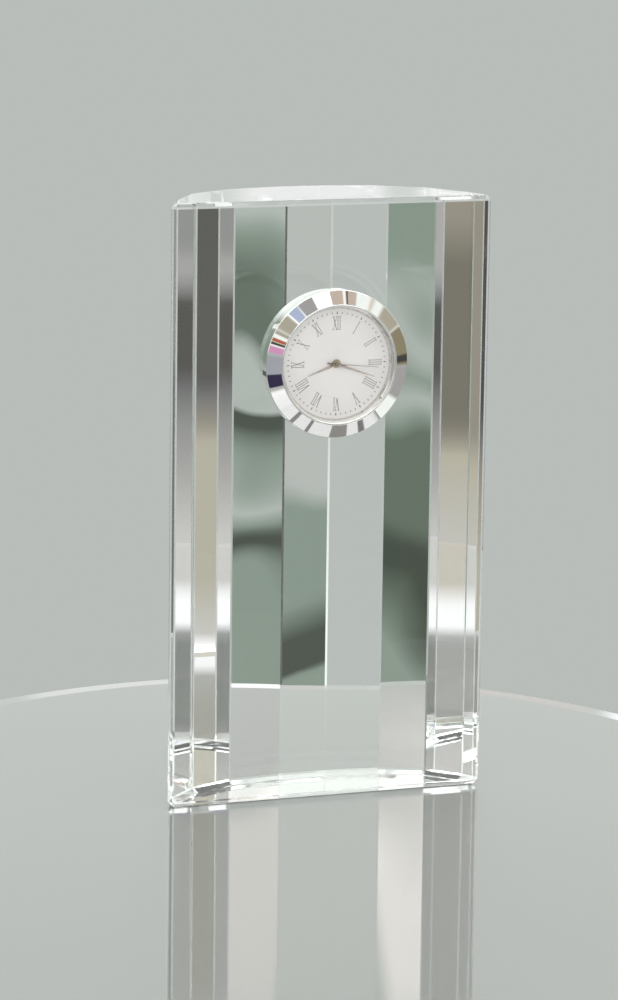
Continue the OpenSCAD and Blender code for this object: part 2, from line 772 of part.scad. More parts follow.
module centre_wheel() {
    top = hour_hand_z;
    color([0.85, 0.72, 0.4]) insert_frame() difference() {
        union() {
            translate([0, 0, centre_wheel_z]) train_wheel(centre_teeth, centre_module, 0);
            translate([0, 0, centre_wheel_z]) cylinder(r = tube_r, h = top - centre_wheel_z);
        }
        translate([0, 0, centre_wheel_z - over])
            cylinder(r = tube_bore_r, h = top - centre_wheel_z + 2 * over);
    }
}

// Wheels under the dial
module cannon_pinion() {
    top = minute_hand_z + hand_t;
    color([0.8, 0.7, 0.45]) insert_frame() difference() {
        union() {
            translate([0, 0, motion_z]) gear(cannon_teeth, motion_module, wheel_t + 0.08, 0, 0.9);
            translate([0, 0, motion_z]) cylinder(r = cannon_r, h = top - motion_z);
        }
        translate([0, 0, motion_z - over]) cylinder(r = cannon_bore_r, h = top - motion_z + 2 * over);
    }
}

module minute_wheel() {
    wheel_turn = mesh_turn(minute_way, 0, cannon_teeth, minute_teeth);
    pinion_turn = mesh_turn(minute_way, 0, hour_teeth, pinion_teeth);
    top = hour_wheel_z + wheel_t;
    color([0.85, 0.72, 0.4]) insert_frame() seat(minute_at, 0) difference() {
        union() {
            translate([0, 0, motion_z]) train_wheel(minute_teeth, motion_module, wheel_turn);
            translate([0, 0, motion_z + wheel_t])
                gear(pinion_teeth, hour_module, top - motion_z - wheel_t, pinion_turn, 0.9);
        }
        translate([0, 0, motion_z - over]) cylinder(r = arbor_r + run_gap, h = top - motion_z + 2 * over);
    }
}

module hour_wheel() {
    top = hour_hand_z + hand_t;
    color([0.85, 0.72, 0.4]) insert_frame() difference() {
        union() {
            translate([0, 0, hour_wheel_z]) gear(hour_teeth, hour_module, wheel_t);
            translate([0, 0, hour_wheel_z]) cylinder(r = pipe_r, h = top - hour_wheel_z);
        }
        translate([0, 0, hour_wheel_z - over])
            cylinder(r = pipe_bore_r, h = top - hour_wheel_z + 2 * over);
    }
}

module setting_wheel() {
    minute_wheel_turn = mesh_turn(minute_way, 0, cannon_teeth, minute_teeth);
    turn = mesh_turn(setting_way, minute_wheel_turn, minute_teeth, setting_teeth);
    color([0.8, 0.7, 0.45]) insert_frame() seat(setting_at, motion_z) difference() {
        gear(setting_teeth, motion_module, wheel_t, turn);
        translate([0, 0, -over]) cylinder(r = arbor_r + run_gap, h = wheel_t + 2 * over);
    }
}

// Circuit and battery
module circuit_board() {
    color([0.15, 0.35, 0.2]) insert_frame()
        translate([0, 0, plate_back_z - board_t]) linear_extrude(board_t) polygon(board_outline);
}

module chip() {
    color([0.1, 0.1, 0.1]) insert_frame()
        seat(chip_at, plate_back_z - board_t - chip_size.z) cube(chip_size);
}

module quartz_can() {
    color([0.8, 0.8, 0.82]) insert_frame()
        seat(can_at, plate_back_z - board_t - can_d / 2) rotate([0, 90, 0]) cylinder(d = can_d, h = can_l);
}

module button_cell() {
    step = 0.5;
    color([0.8, 0.8, 0.82]) insert_frame() seat(cell_at, cell_back_z) {
        cylinder(d = cell_d, h = cell_t - step);
        translate([0, 0, cell_t - step]) cylinder(d = cell_d - 0.8, h = step);
    }
}

module battery_clamp() {
    color([0.7, 0.7, 0.6]) insert_frame() difference() {
        union() {
            translate([0, 0, cell_back_z - contact_t])
                bar(clamp_ends[0], clamp_ends[1], clamp_w, contact_t);
            for (at = clamp_ends)
                seat(at, cell_back_z) cylinder(d = clamp_w - 0.1, h = plate_back_z - cell_back_z);
        }
        seat(clamp_ends[1], cell_back_z - over) cylinder(d = screw_d, h = cell_t + over);
    }
}

module clamp_screw() {
    color([0.5, 0.5, 0.55]) insert_frame()
        seat(clamp_ends[1], 0) screw(cell_back_z - contact_t, cell_t * 0.7);
}

module negative_strip() {
    color([0.75, 0.65, 0.35]) insert_frame() translate([0, 0, plate_back_z - contact_t])
        for (i = [0 : len(strip_route) - 2]) bar(strip_route[i], strip_route[i + 1], 0.8, contact_t);
}

// Crown work
module along_stem(x) {
    translate([x, 0, -stem_deep]) rotate([0, 90, 0]) children();
}

module clutch_pinion() {
    length = clutch_x[1] - clutch_x[0];
    hole = stem_square + 2 * run_gap;
    color([0.6, 0.6, 0.62]) insert_frame() along_stem(clutch_x[0]) difference() {
        union() {
            cylinder(r = 0.6, h = length);
            gear(12, 0.12, 0.4);
        }
        translate([-hole / 2, -hole / 2, -over]) cube([hole, hole, length + 2 * over]);
    }
}

module stem() {
    stem_r = stem_d / 2;
    square_l = groove_x - 0.15 - stem_inner_x;
    shank_x = groove_x + groove_w;
    color([0.6, 0.6, 0.62]) insert_frame() {
        along_stem(stem_inner_x) translate([-stem_square / 2, -stem_square / 2, 0])
            cube([stem_square, stem_square, square_l]);
        along_stem(stem_inner_x + square_l) cylinder(r = stem_r, h = 0.15);
        along_stem(groove_x) cylinder(r = groove_r, h = groove_w);
        along_stem(shank_x) cylinder(r = stem_r, h = crown_x - shank_x);
    }
}

module crown() {
    flutes = 18;
    crown_r = crown_d / 2;
    color([0.85, 0.85, 0.87]) insert_frame() along_stem(crown_x) difference() {
        cylinder(r = crown_r, h = crown_l);
        for (i = [1 : flutes]) rotate(360 / flutes * i)
            translate([crown_r + 0.04, 0, -over]) cylinder(d = 0.22, h = crown_l - 0.1 + over, $fn = 16);
    }
}

module setting_lever() {
    color([0.65, 0.65, 0.68]) insert_frame()
        translate([lever_at.x, lever_at.y, -stem_deep - lever_t / 2]) rotate(-lever_swing) difference() {
            union() {
                cylinder(r = 0.8, h = lever_t);
                translate([-lever_w / 2, -lever_reach, 0]) cube([lever_w, lever_reach, lever_t]);
            }
            translate([0, 0, -over]) cylinder(r = 2 * arbor_r + run_gap, h = lever_t + 2 * over);
        }
}

// Hands
// A flat tapered hand with a round boss, clockwise from twelve by turn
module tapered_hand(turn, length, width, boss_r, hole_r) {
    tip_w = 0.12;
    rotate(-turn) difference() {
        union() {
            cylinder(r = boss_r, h = hand_t);
            linear_extrude(hand_t)
                polygon([[-width / 2, 0], [width / 2, 0], [tip_w / 2, length], [-tip_w / 2, length]]);
        }
        translate([0, 0, -over]) cylinder(r = hole_r, h = hand_t + 2 * over);
    }
}

module hour_hand() {
    color([0.82, 0.8, 0.76]) insert_frame() translate([0, 0, hour_hand_z])
        tapered_hand(hour_turn, hour_hand_l, hour_hand_w, pipe_r + 0.2, pipe_r + seat_gap);
}

module minute_hand() {
    color([0.82, 0.8, 0.76]) insert_frame() translate([0, 0, minute_hand_z])
        tapered_hand(minute_turn, minute_hand_l, minute_hand_w, cannon_r + 0.25, cannon_r + seat_gap);
}

module seconds_hand() {
    boss_r = 0.45;
    color([0.5, 0.47, 0.42]) insert_frame()
        translate([0, 0, seconds_hand_z]) rotate(-seconds_turn) difference() {
        union() {
            cylinder(r = boss_r, h = seconds_hand_t);
            translate([-seconds_hand_w / 2, 0, 0]) cube([seconds_hand_w, seconds_hand_l, seconds_hand_t]);
            translate([-tail_w / 2, -tail_l, 0]) cube([tail_w, tail_l, seconds_hand_t]);
        }
        translate([0, 0, -over]) cylinder(r = arbor_r + seat_gap, h = seconds_hand_t + 2 * over);
    }
}

module hub_cap() {
    cap_r = 0.52;
    color([0.8, 0.78, 0.74]) insert_frame() translate([0, 0, seconds_hand_z + seconds_hand_t])
        rotate_extrude() polygon([[0, 0], [cap_r, 0], [cap_r, 0.08], [cap_r - 0.12, 0.16],
            [cap_r - 0.28, 0.16], [cap_r - 0.34, 0.1], [0, 0.1]]);
}

crystal_block();
bezel();
glass();
glass_seal();
dial_ring();
dial();
numerals();
minute_track();
case();
grip_ring();
back_cover();
back_seal();
movement_holder();
main_plate();
train_bridge();
bridge_screws();
stator();
coil_core();
coil_winding();
circuit_board();
chip();
quartz_can();
button_cell();
battery_clamp();
clamp_screw();
negative_strip();
rotor_magnet();
rotor_pinion();
fifth_wheel();
fourth_wheel();
third_wheel();
centre_wheel();
cannon_pinion();
minute_wheel();
hour_wheel();
setting_wheel();
clutch_pinion();
stem();
crown();
setting_lever();
hour_hand();
minute_hand();
seconds_hand();
hub_cap();
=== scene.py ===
import math

import bpy
from mathutils import Matrix, Quaternion, Vector


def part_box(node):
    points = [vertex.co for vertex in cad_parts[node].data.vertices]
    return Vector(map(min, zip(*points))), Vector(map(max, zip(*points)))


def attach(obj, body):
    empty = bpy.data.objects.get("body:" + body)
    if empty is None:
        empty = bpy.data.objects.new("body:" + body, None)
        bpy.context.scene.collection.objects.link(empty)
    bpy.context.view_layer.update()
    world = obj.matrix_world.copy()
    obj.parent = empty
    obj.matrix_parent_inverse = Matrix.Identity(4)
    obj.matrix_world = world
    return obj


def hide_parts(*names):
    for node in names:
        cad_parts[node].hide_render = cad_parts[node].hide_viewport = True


bl_info = {
    "name": "Crystal desk clock",
    "version": (1, 0, 0),
    "blender": (4, 5, 0),
    "location": "3D View > Sidebar > Crystal clock",
    "description": "Cuts the crystal block and turns the bezel, dial and hands of a small desk clock",
    "category": "Object",
}

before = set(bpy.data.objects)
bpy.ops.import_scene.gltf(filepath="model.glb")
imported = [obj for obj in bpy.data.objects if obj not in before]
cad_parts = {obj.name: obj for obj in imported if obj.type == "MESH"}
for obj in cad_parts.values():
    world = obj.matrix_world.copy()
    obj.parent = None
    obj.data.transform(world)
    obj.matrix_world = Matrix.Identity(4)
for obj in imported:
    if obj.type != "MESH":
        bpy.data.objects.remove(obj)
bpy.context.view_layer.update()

# The pieces are modelled in millimetres and brought to metres as they are put in place.
MM = 0.001
block_low, block_high = (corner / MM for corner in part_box("crystal_block"))
face_y = block_low.y
dial_z = sum(corner.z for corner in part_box("bezel")) / 2 / MM
on_block = Matrix.Scale(MM, 4)
# The insert is modelled lying down: its z is 0 at the crystal's face and grows towards the viewer.
in_insert = (
    Matrix.Translation((0, face_y * MM, dial_z * MM))
    @ Matrix.Rotation(math.pi / 2, 4, "X")
    @ Matrix.Scale(MM, 4)
)


def levels(node):
    """Back and front of a node of the insert, in millimetres before the crystal's face."""
    low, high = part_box(node)
    return face_y - high.y / MM, face_y - low.y / MM


def radius_of(node):
    """Outer radius of a round node, in millimetres."""
    low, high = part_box(node)
    return (high.x - low.x) / 2 / MM


def length(name, description, default, lowest=0):
    return bpy.props.FloatProperty(
        name=name, description=description, default=default, min=lowest, precision=5, unit="LENGTH"
    )


def count(name, description, default, highest):
    return bpy.props.IntProperty(name=name, description=description, default=default, min=0, max=highest)


def angle(name, description, degrees):
    return bpy.props.FloatProperty(
        name=name, description=description, default=math.radians(degrees), subtype="ANGLE"
    )


def colour(name, description, default):
    return bpy.props.FloatVectorProperty(
        name=name, description=description, default=default, size=3, min=0, max=1, subtype="COLOR"
    )


class CrystalSizes(bpy.types.PropertyGroup):
    """Cut and finish of the crystal block"""

    front_bevel: length("Front bevel", "Bevel on the two upright front edges", 0.0008)
    side_flat: length("Side flat", "Flat strip at each side, behind the front bevel", 0.0012)
    top_bevel: length("Top bevel", "Bevel round the top", 0.00105)
    foot_bevel: length("Foot bevel", "Bevel round the foot", 0.0013)
    inner_width: length("Inner facet width", "Width of the facets next to the middle one", 0.014)
    inner_fall: length("Inner facet fall", "How much those facets fall away from the back", 0.0026)
    second_width: length("Second facet width", "Width of the second facets", 0.0111)
    second_fall: length("Second facet fall", "How much the second facets fall away", 0.007)
    third_width: length("Third facet width", "Width of the third facets", 0.0074)
    third_fall: length("Third facet fall", "How much the third facets fall away", 0.0114)
    outer_width: length("Outer facet width", "Width of the outermost facets", 0.0025)
    bore_diameter: length("Bore diameter", "Diameter of the blind bore", 0.035)
    bore_depth: length("Bore depth", "Depth of the blind bore", 0.0072)
    edge_width: length("Polished edge", "Width of the fine bevel on every edge", 0.00028)
    refraction: bpy.props.FloatProperty(
        name="Refraction", description="Index of refraction of the crystal", default=1.517, min=1
    )
    tint: colour("Crystal tint", "Colour of light that has gone through the crystal", (0.975, 0.99, 0.98))


class BezelSizes(bpy.types.PropertyGroup):
    """Turned metal bezel, glass and inner ring"""

    wall: length("Rim wall", "Wall of the bezel's upright rim", 0.0006)
    rise: length("Rise", "Rise of the bezel's face from its rim to its lip", 0.0017)
    lip_width: length("Lip width", "Width of the rounded lip", 0.00045)
    lip_cover: length("Lip cover", "How far the lip covers the edge of the glass", 0.00089)
    edge_radius: length("Edge radius", "Rounding where the rim meets the face", 0.00022)
    ring_width: length("Inner ring width", "Width of the polished ring at its foot on the dial", 0.0013)
    ring_lean: length("Inner ring lean", "How far the ring's wall leans out from its foot", 0.00045)
    ring_shoulder: length("Inner ring shoulder", "How far the ring's shallow shoulder rises", 0.0003)
    chrome: colour("Chrome", "Colour of the polished chrome", (0.86, 0.855, 0.85))
    ring_steel: colour("Inner ring", "Colour of the polished inner ring", (0.74, 0.70, 0.68))


class DialSizes(bpy.types.PropertyGroup):
    """Dial, printing and hands"""

    numeral_radius: length("Numeral radius", "Radius of the numerals' inner ends", 0.0084)
    numeral_height: length("Numeral height", "Height of the numerals", 0.00325)
    bar_pitch: length("Bar pitch", "Distance between the bars of one numeral", 0.00054)
    letter_half: length("Letter half width", "Half the spread of a V or an X", 0.00042)
    thick_stroke: length("Thick stroke", "Width of a thick printed stroke", 0.00014)
    thin_stroke: length("Thin stroke", "Width of a thin printed stroke", 0.00008)
    track_radius: length("Track radius", "Radius of the middle of the minute marks", 0.0125)
    minute_mark: length("Minute mark", "Length of a minute mark", 0.00042)
    hour_mark: length("Five minute mark", "Length of a five minute mark", 0.0006)
    ink_height: length("Ink height", "Thickness of the printing", 0.00004)
    paper: colour("Dial white", "Colour of the dial", (0.84, 0.82, 0.805))
    ink: colour("Ink", "Colour of the printing", (0.085, 0.085, 0.095))
    hand_metal: colour("Hand metal", "Colour of the hour and minute hands", (0.50, 0.43, 0.38))
    needle_metal: colour("Needle metal", "Colour of the seconds hand", (0.36, 0.31, 0.25))


class HandSizes(bpy.types.PropertyGroup):
    """Hands and the time that they show"""

    hour: count("Hour", "Hour shown", 8, 11)
    minute: count("Minute", "Minute shown", 18, 59)
    second: count("Second", "Second shown", 16, 59)
    hour_length: length("Hour hand length", "Length of the hour hand", 0.008)
    hour_width: length("Hour hand width", "Width of the hour hand at its root", 0.0008)
    minute_length: length("Minute hand length", "Length of the minute hand", 0.0104)
    minute_width: length("Minute hand width", "Width of the minute hand at its root", 0.0007)
    second_length: length("Seconds hand length", "Length of the seconds hand", 0.0108)
    second_width: length("Seconds hand width", "Width of the seconds hand", 0.00015)
    tail_length: length("Tail length", "Length of the seconds hand's tail", 0.0027)
    tail_width: length("Tail width", "Width of the seconds hand's tail", 0.00042)
    tip_width: length("Tip width", "Width of the hands at their tips", 0.00012)


class StageSettings(bpy.types.PropertyGroup):
    """Camera, table, lamps and the studio round them"""

    turn: angle("Camera turn", "How far the camera stands to the left of the clock's front", 19.288)
    pitch: angle("Camera pitch", "How far the camera looks down", 11.311)
    roll: angle("Camera roll", "How far the camera is tilted", 0.79)
    distance: length("Camera distance", "Distance from the camera to its target", 0.9603)
    target_x: length("Target x", "Where the camera looks, across the front", -0.00575, lowest=-1)
    target_z: length("Target height", "Height of the point that the camera looks at", 0.076)
    focal_length: bpy.props.FloatProperty(
        name="Focal length", description="Focal length for a 36 mm sensor, in millimetres", default=140.63
    )
    table_x: length("Table x", "Middle of the table, across the front", -0.0287, lowest=-1)
    table_y: length("Table y", "Middle of the table, from front to back", -0.0694, lowest=-1)
    table_width: length("Table width", "Half the width of the table, across the camera's view", 0.1465)
    table_length: length("Table length", "Half the length of the table, along the camera's view", 0.1895)
    table_edge: length("Table edge", "Width of the table's sloping edge", 0.006)
    table_fall: length("Table edge fall", "How much that edge falls", 0.00024)
    table_depth: length("Table depth", "Thickness of the table", 0.012)
    table_gap: length("Table gap", "Air between the table and the clock's foot", 0.00005)
    table_round: length("Table rounding", "Rounding along the table's edges", 0.0003)
    table: colour("Table", "Colour under the table's mirror-like gloss", (0.08, 0.085, 0.08))
    backdrop: colour("Backdrop", "Colour of the plain backdrop", (0.479, 0.509, 0.485))
    ambient: colour("Ambient", "Colour of the light from all round", (1.15, 1.15, 1.14))


def choose(*pieces):
    """Selects these pieces alone, in object mode."""
    if bpy.context.mode != "OBJECT":
        bpy.ops.object.mode_set(mode="OBJECT")
    bpy.ops.object.select_all(action="DESELECT")
    for piece in pieces:
        piece.select_set(True)
    bpy.context.view_layer.objects.active = pieces[0]


def edit(piece):
    """Opens one piece in edit mode with all of it selected."""
    choose(piece)
    bpy.ops.object.mode_set(mode="EDIT")
    bpy.ops.mesh.select_mode(type="VERT")
    bpy.ops.mesh.select_all(action="SELECT")


def leave_edit():
    bpy.ops.object.mode_set(mode="OBJECT")


def added(name, data):
    """A new object with this data, in the scene."""
    piece = bpy.data.objects.new(name, data)
    bpy.context.scene.collection.objects.link(piece)
    return piece


def apply_transform():
    bpy.ops.object.transform_apply(location=True, rotation=True, scale=True)


def clockwise(degrees):
    """A turn of the insert as its viewer sees it."""
    return Matrix.Rotation(math.radians(-degrees), 4, "Z")


def apply_modifier(piece, kind, **settings):
    """Adds a modifier with these settings and applies it."""
    modifier = piece.modifiers.new(kind.title(), kind)
    for name, value in settings.items():
        setattr(modifier, name, value)
    choose(piece)
    bpy.ops.object.modifier_apply(modifier=modifier.name)


def join(name, pieces):
    """Joins pieces into the first one and names it."""
    choose(*pieces)
    if len(pieces) > 1:
        bpy.ops.object.join()
    pieces[0].name = pieces[0].data.name = name
    return pieces[0]


def place(piece, matrix, smooth_degrees=None):
    """Puts a piece where it belongs in its own mesh, so that its object stays at the origin."""
    piece.matrix_world = matrix
    choose(piece)
    apply_transform()
    if smooth_degrees:
        bpy.ops.object.shade_smooth_by_angle(angle=math.radians(smooth_degrees))


def wear(piece, *finishes):
    """Gives a piece its finishes, in the order of its material slots."""
    worn = piece.data.materials
    for slot, material in enumerate(finishes):
        if slot < len(worn):
            worn[slot] = material
        else:
            worn.append(material)


def rounded(corners, steps=5):
    """Rounds the corners of a closed outline. A corner is (radius, level) or (radius, level, rounding)."""
    points = [Vector(corner[:2]) for corner in corners]
    outline = []
    for i, corner in enumerate(corners):
        here = points[i]
        size = corner[2] if len(corner) > 2 else 0
        back, ahead = points[i - 1] - here, points[(i + 1) % len(points)] - here
        if not size:
            outline.append(here)
            continue
        half = back.angle(ahead) / 2
        run = min(size / math.tan(half), 0.48 * back.length, 0.48 * ahead.length)
        start, end = back.normalized() * run, ahead.normalized() * run
        middle = (start + end).normalized() * run / math.cos(half)
        arc = run * math.tan(half)
        for k in range(steps + 1):
            towards = (start - middle).slerp(end - middle, k / steps).normalized()
            outline.append(here + middle + towards * arc)
    return outline


def turned(name, outline, steps=192, closed=True):
    """Turns an outline of (radius, level) round the insert's axis, as on a lathe."""
    mesh = bpy.data.meshes.new(name)
    count = len(outline)
    edges = [(i, (i + 1) % count) for i in range(count if closed else count - 1)]
    mesh.from_pydata([(r, 0, z) for r, z in outline], edges, [])
    piece = added(name, mesh)
    edit(piece)
    bpy.ops.mesh.spin(steps=steps, angle=2 * math.pi, center=(0, 0, 0), axis=(0, 0, 1))
    bpy.ops.mesh.select_all(action="SELECT")
    bpy.ops.mesh.remove_doubles(threshold=1e-4)
    bpy.ops.mesh.normals_make_consistent(inside=False)
    leave_edit()
    return piece


def block(name, low, high):
    """A plain block between two corners, to be worked on."""
    low, high = Vector(low), Vector(high)
    bpy.ops.mesh.primitive_cube_add(size=1, location=(low + high) / 2)
    piece = bpy.context.active_object
    piece.scale = high - low
    apply_transform()
    piece.name = piece.data.name = name
    return piece


def rod(name, radius, back, front, sides):
    """A plain round rod along the insert's axis."""
    bpy.ops.mesh.primitive_cylinder_add(
        vertices=sides, radius=radius, depth=front - back, location=(0, 0, (back + front) / 2)
    )
    piece = bpy.context.active_object
    apply_transform()
    piece.name = piece.data.name = name
    return piece


def carve(piece, cutter, operation="DIFFERENCE"):
    """Cuts a cutter out of a piece, or adds it to the piece, and removes the cutter."""
    apply_modifier(piece, "BOOLEAN", operation=operation, object=cutter, solver="EXACT")
    bpy.data.objects.remove(cutter)


def dress(finish, nodes):
    """Gives CAD nodes a finish and leaves their shape alone."""
    for node in nodes.split():
        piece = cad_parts[node]
        if not piece.material_slots:
            piece.data.materials.append(finish)
        for slot in piece.material_slots:
            slot.material = finish


SOFT = "SMOOTHSTEP"


class Graph:
    """Short ways to lay and link shader nodes."""

    def node(self, kind, **values):
        made = self.tree.nodes.new("ShaderNode" + kind)
        for name, value in values.items():
            if name in made.inputs:
                made.inputs[name].default_value = value
            else:
                setattr(made, name, value)
        return made

    def link(self, out, socket):
        self.tree.links.new(out, socket)

    def put(self, value, socket):
        """Links a socket to a value that another node gives, or sets it."""
        if isinstance(value, bpy.types.NodeSocket):
            self.link(value, socket)
        else:
            socket.default_value = value

    def spread(self, value, *numbers, curve="LINEAR"):
        """Maps a range to another, given as from, from, to, to."""
        made = self.node("MapRange", interpolation_type=curve)
        for name, number in zip(("From Min", "From Max", "To Min", "To Max"), numbers):
            made.inputs[name].default_value = number
        self.link(value, made.inputs["Value"])
        return made.outputs["Result"]


class Finish(Graph):
    """A material with its shader, and short ways to lay grain on it."""

    def __init__(self, name, **sockets):
        self.material = bpy.data.materials.new(name)
        self.material.use_nodes = True
        self.tree = self.material.node_tree
        self.shader = self.tree.nodes["Principled BSDF"]
        for socket, value in sockets.items():
            self.shader.inputs[socket.replace("_", " ")].default_value = value

    def spot(self, centre=(0, 0, 0), stretch=(1, 1, 1)):
        """Object coordinates in millimetres from a centre, stretched."""
        coordinates = self.node("TexCoord")
        mapping = self.node("Mapping", vector_type="POINT")
        mapping.inputs["Scale"].default_value = [s / MM for s in stretch]
        mapping.inputs["Location"].default_value = [-c * s / MM for c, s in zip(centre, stretch)]
        self.link(coordinates.outputs["Object"], mapping.inputs["Vector"])
        return mapping.outputs["Vector"]

    def noise(self, scale, vector=None, detail=3.0):
        """Noise whose grains are 1 / scale millimetres."""
        made = self.node("TexNoise", Scale=scale, Detail=detail)
        self.link(vector or self.spot(), made.inputs["Vector"])
        return made.outputs["Fac"]

    def wave(self, scale, vector, kind, direction, **values):
        made = self.node("TexWave", wave_type=kind, Scale=scale, **values)
        setattr(made, "rings_direction" if kind == "RINGS" else "bands_direction", direction)
        self.link(vector, made.inputs["Vector"])
        return made.outputs["Fac"]

    def tint(self, value, dark, light, start=0.3, end=0.7):
        """Colours the surface from dark to light by a value."""
        ramp = self.node("ValToRGB")
        ramp.color_ramp.elements[0].position, ramp.color_ramp.elements[1].position = start, end
        ramp.color_ramp.elements[0].color, ramp.color_ramp.elements[1].color = (*dark, 1), (*light, 1)
        self.link(value, ramp.inputs["Fac"])
        self.link(ramp.outputs["Color"], self.shader.inputs["Base Color"])
        return self

    def gloss(self, value, low, high):
        """Varies the roughness by a value."""
        self.link(self.spread(value, 0.3, 0.7, low, high), self.shader.inputs["Roughness"])
        return self

    def relief(self, value, depth_mm):
        """Raises the surface by a value."""
        bump = self.node("Bump", Distance=depth_mm * MM)
        self.link(value, bump.inputs["Height"])
        self.link(bump.outputs["Normal"], self.shader.inputs["Normal"])
        return self


class Studio(Graph):
    """The world's nodes, and the direction that they look in."""

    def __init__(self, context):
        world = context.scene.world = bpy.data.worlds.new("studio")
        world.use_nodes = True
        self.tree = world.node_tree
        self.tree.nodes.clear()
        self.towards = self.node("TexCoord").outputs["Generated"]
        split = self.node("SeparateXYZ")
        self.link(self.towards, split.inputs[0])
        self.x, self.y, self.z = split.outputs
        self.azimuth = self.math("DEGREES", self.math("ARCTAN2", self.x, self.y))
        self.height = self.math("DEGREES", self.math("ARCSINE", self.z))

    def math(self, operation, *values):
        made = self.node("Math", operation=operation)
        for socket, value in zip(made.inputs, values):
            self.put(value, socket)
        return made.outputs[0]

    def mix(self, factor, *colours):
        """One colour or the other, by a factor. A colour is a node's, or three numbers."""
        made = self.node("Mix", data_type="RGBA")
        sockets = {socket.identifier: socket for socket in (*made.inputs, *made.outputs)}
        self.put(factor, sockets["Factor_Float"])
        for key, value in zip(("A_Color", "B_Color"), colours):
            self.put(value if isinstance(value, bpy.types.NodeSocket) else (*value, 1), sockets[key])
        return sockets["Result_Color"]

    def band(self, value, middle, half, soft, wrap=False):
        """1 inside the band round the middle, 0 outside, with soft edges."""
        away = self.math("SUBTRACT", value, middle)
        if wrap:
            away = self.math("WRAP", away, 180, -180)
        return self.spread(self.math("ABSOLUTE", away), half - soft, half + soft, 1, 0, curve=SOFT)


def shade(colour_in, factor):
    return tuple(min(1.0, c * factor) for c in colour_in)


def grained(name, base, spread, scale, rough, metal=0.0, depth=0.0, stretch=(1, 1, 1)):
    """A finish with a fine grain in its colour, gloss and, with a depth, its surface."""
    finish = Finish(name, Metallic=metal)
    grain = finish.noise(scale, finish.spot(stretch=stretch))
    finish.tint(grain, shade(base, 1 - spread), shade(base, 1 + spread)).gloss(grain, *rough)
    if depth:
        finish.relief(grain, depth)
    return finish.material


def clear_finish(name, index, dark, light, grain, stretch=(1, 1, 1), rough=None, transmission=1.0):
    """Clear crystal or glass with a grain in its tint and, if it is rough, in its gloss."""
    finish = Finish(name, Transmission_Weight=transmission, IOR=index, Roughness=0.0)
    marks = finish.noise(grain, finish.spot(stretch=stretch))
    finish.tint(marks, dark, light)
    if rough:
        finish.gloss(marks, *rough)
    return finish.material


def crystal_finish(sizes):
    """Clear polished crystal, with the faintest wipe marks in its polish."""
    return clear_finish(
        "polished_crystal", sizes.refraction, sizes.tint, shade(sizes.tint, 1.01), 0.05, stretch=(1, 1, 0.2)
    )


def painted_edge_highlight_finish(sizes):
    """The fine bevel along a cut edge, which is ground white and hardly polished."""
    return clear_finish(
        "crystal_edge", sizes.refraction, (0.93, 0.94, 0.94), (1, 1, 1), 3.0,
        rough=(0.02, 0.08), transmission=0.93,
    )


def bore_finish(sizes):
    """The wall of the bore, left satin by the drill."""
    return clear_finish(
        "drilled_crystal", sizes.refraction, (0.93, 0.95, 0.95), (1, 1, 1), 1.2,
        stretch=(0.3, 4, 0.3), rough=(0.12, 0.22),
    )


def painted_foot_glint_finish(sizes):
    """The foot and the bevel round it, polished but a little scuffed by the table."""
    return clear_finish(
        "crystal_foot", sizes.refraction, (0.74, 0.76, 0.75), (0.84, 0.86, 0.85), 0.8,
        stretch=(1, 1, 3), rough=(0.01, 0.05), transmission=0.75,
    )


def pane_finish():
    """The flat mineral glass over the dial, with a little dust."""
    return clear_finish("mineral_glass", 1.5, (0.985, 0.99, 0.99), (1, 1, 1), 0.6)


def chrome_finish(name, base, rough=(0.015, 0.04)):
    finish = Finish(name, Metallic=1.0)
    wipe = finish.noise(0.8, finish.spot(stretch=(1, 1, 0.4)))
    finish.tint(wipe, shade(base, 0.985), shade(base, 1.015)).gloss(wipe, *rough)
    return finish.material


def dial_finish(base):
    """Fine matt white enamel with a soft orange peel."""
    finish = Finish("dial_enamel", Coat_Weight=0.15)
    cloud, peel = finish.noise(0.12, detail=1.0), finish.noise(9.0)
    finish.tint(cloud, shade(base, 0.985), shade(base, 1.015)).gloss(peel, 0.42, 0.55)
    return finish.relief(peel, 0.004).material


def turned_steel_finish(name, base, groove=5.0):
    """Steel faced on a lathe, with fine rings round the insert's axis."""
    finish = Finish(name, Metallic=1.0)
    spot = finish.spot(centre=(0, 0, dial_z * MM))
    rings = finish.wave(groove, spot, "RINGS", "Y", Distortion=0.6, Detail=2.0)
    finish.tint(finish.noise(0.4, spot), shade(base, 0.92), shade(base, 1.06))
    finish.gloss(rings, 0.18, 0.34)
    return finish.relief(rings, 0.006).material


def wire_finish():
    """Enamelled copper wire, wound along x."""
    finish = Finish("copper_winding", Metallic=0.8, Coat_Weight=0.6, Coat_Roughness=0.1)
    turns = finish.wave(2.6, finish.spot(), "BANDS", "X", Distortion=0.3, Detail=1.0)
    # Dark where the turns' relief is low: painted shade in the grooves between the turns.
    finish.tint(turns, (0.20, 0.06, 0.02), (0.62, 0.26, 0.10)).gloss(turns, 0.35, 0.22)
    return finish.relief(turns, 0.05).material


def board_finish():
    """Green circuit board with paler tracks under its lacquer."""
    finish = Finish("circuit_lacquer", Coat_Weight=0.4, Coat_Roughness=0.15)
    spot = finish.spot(stretch=(1, 1, 0.6))
    tracks = finish.wave(1.1, spot, "BANDS", "DIAGONAL", Distortion=1.5, Detail=1.0)
    finish.tint(tracks, (0.012, 0.07, 0.03), (0.03, 0.17, 0.07), 0.55, 0.65).gloss(tracks, 0.3, 0.4)
    return finish.relief(tracks, 0.02).material


def rubber_finish():
    finish = Finish("grip_rubber", Specular_IOR_Level=0.35)
    grain = finish.noise(6.0)
    finish.tint(grain, (0.010, 0.010, 0.011), (0.022, 0.022, 0.024)).gloss(grain, 0.62, 0.8)
    return finish.relief(grain, 0.02).material


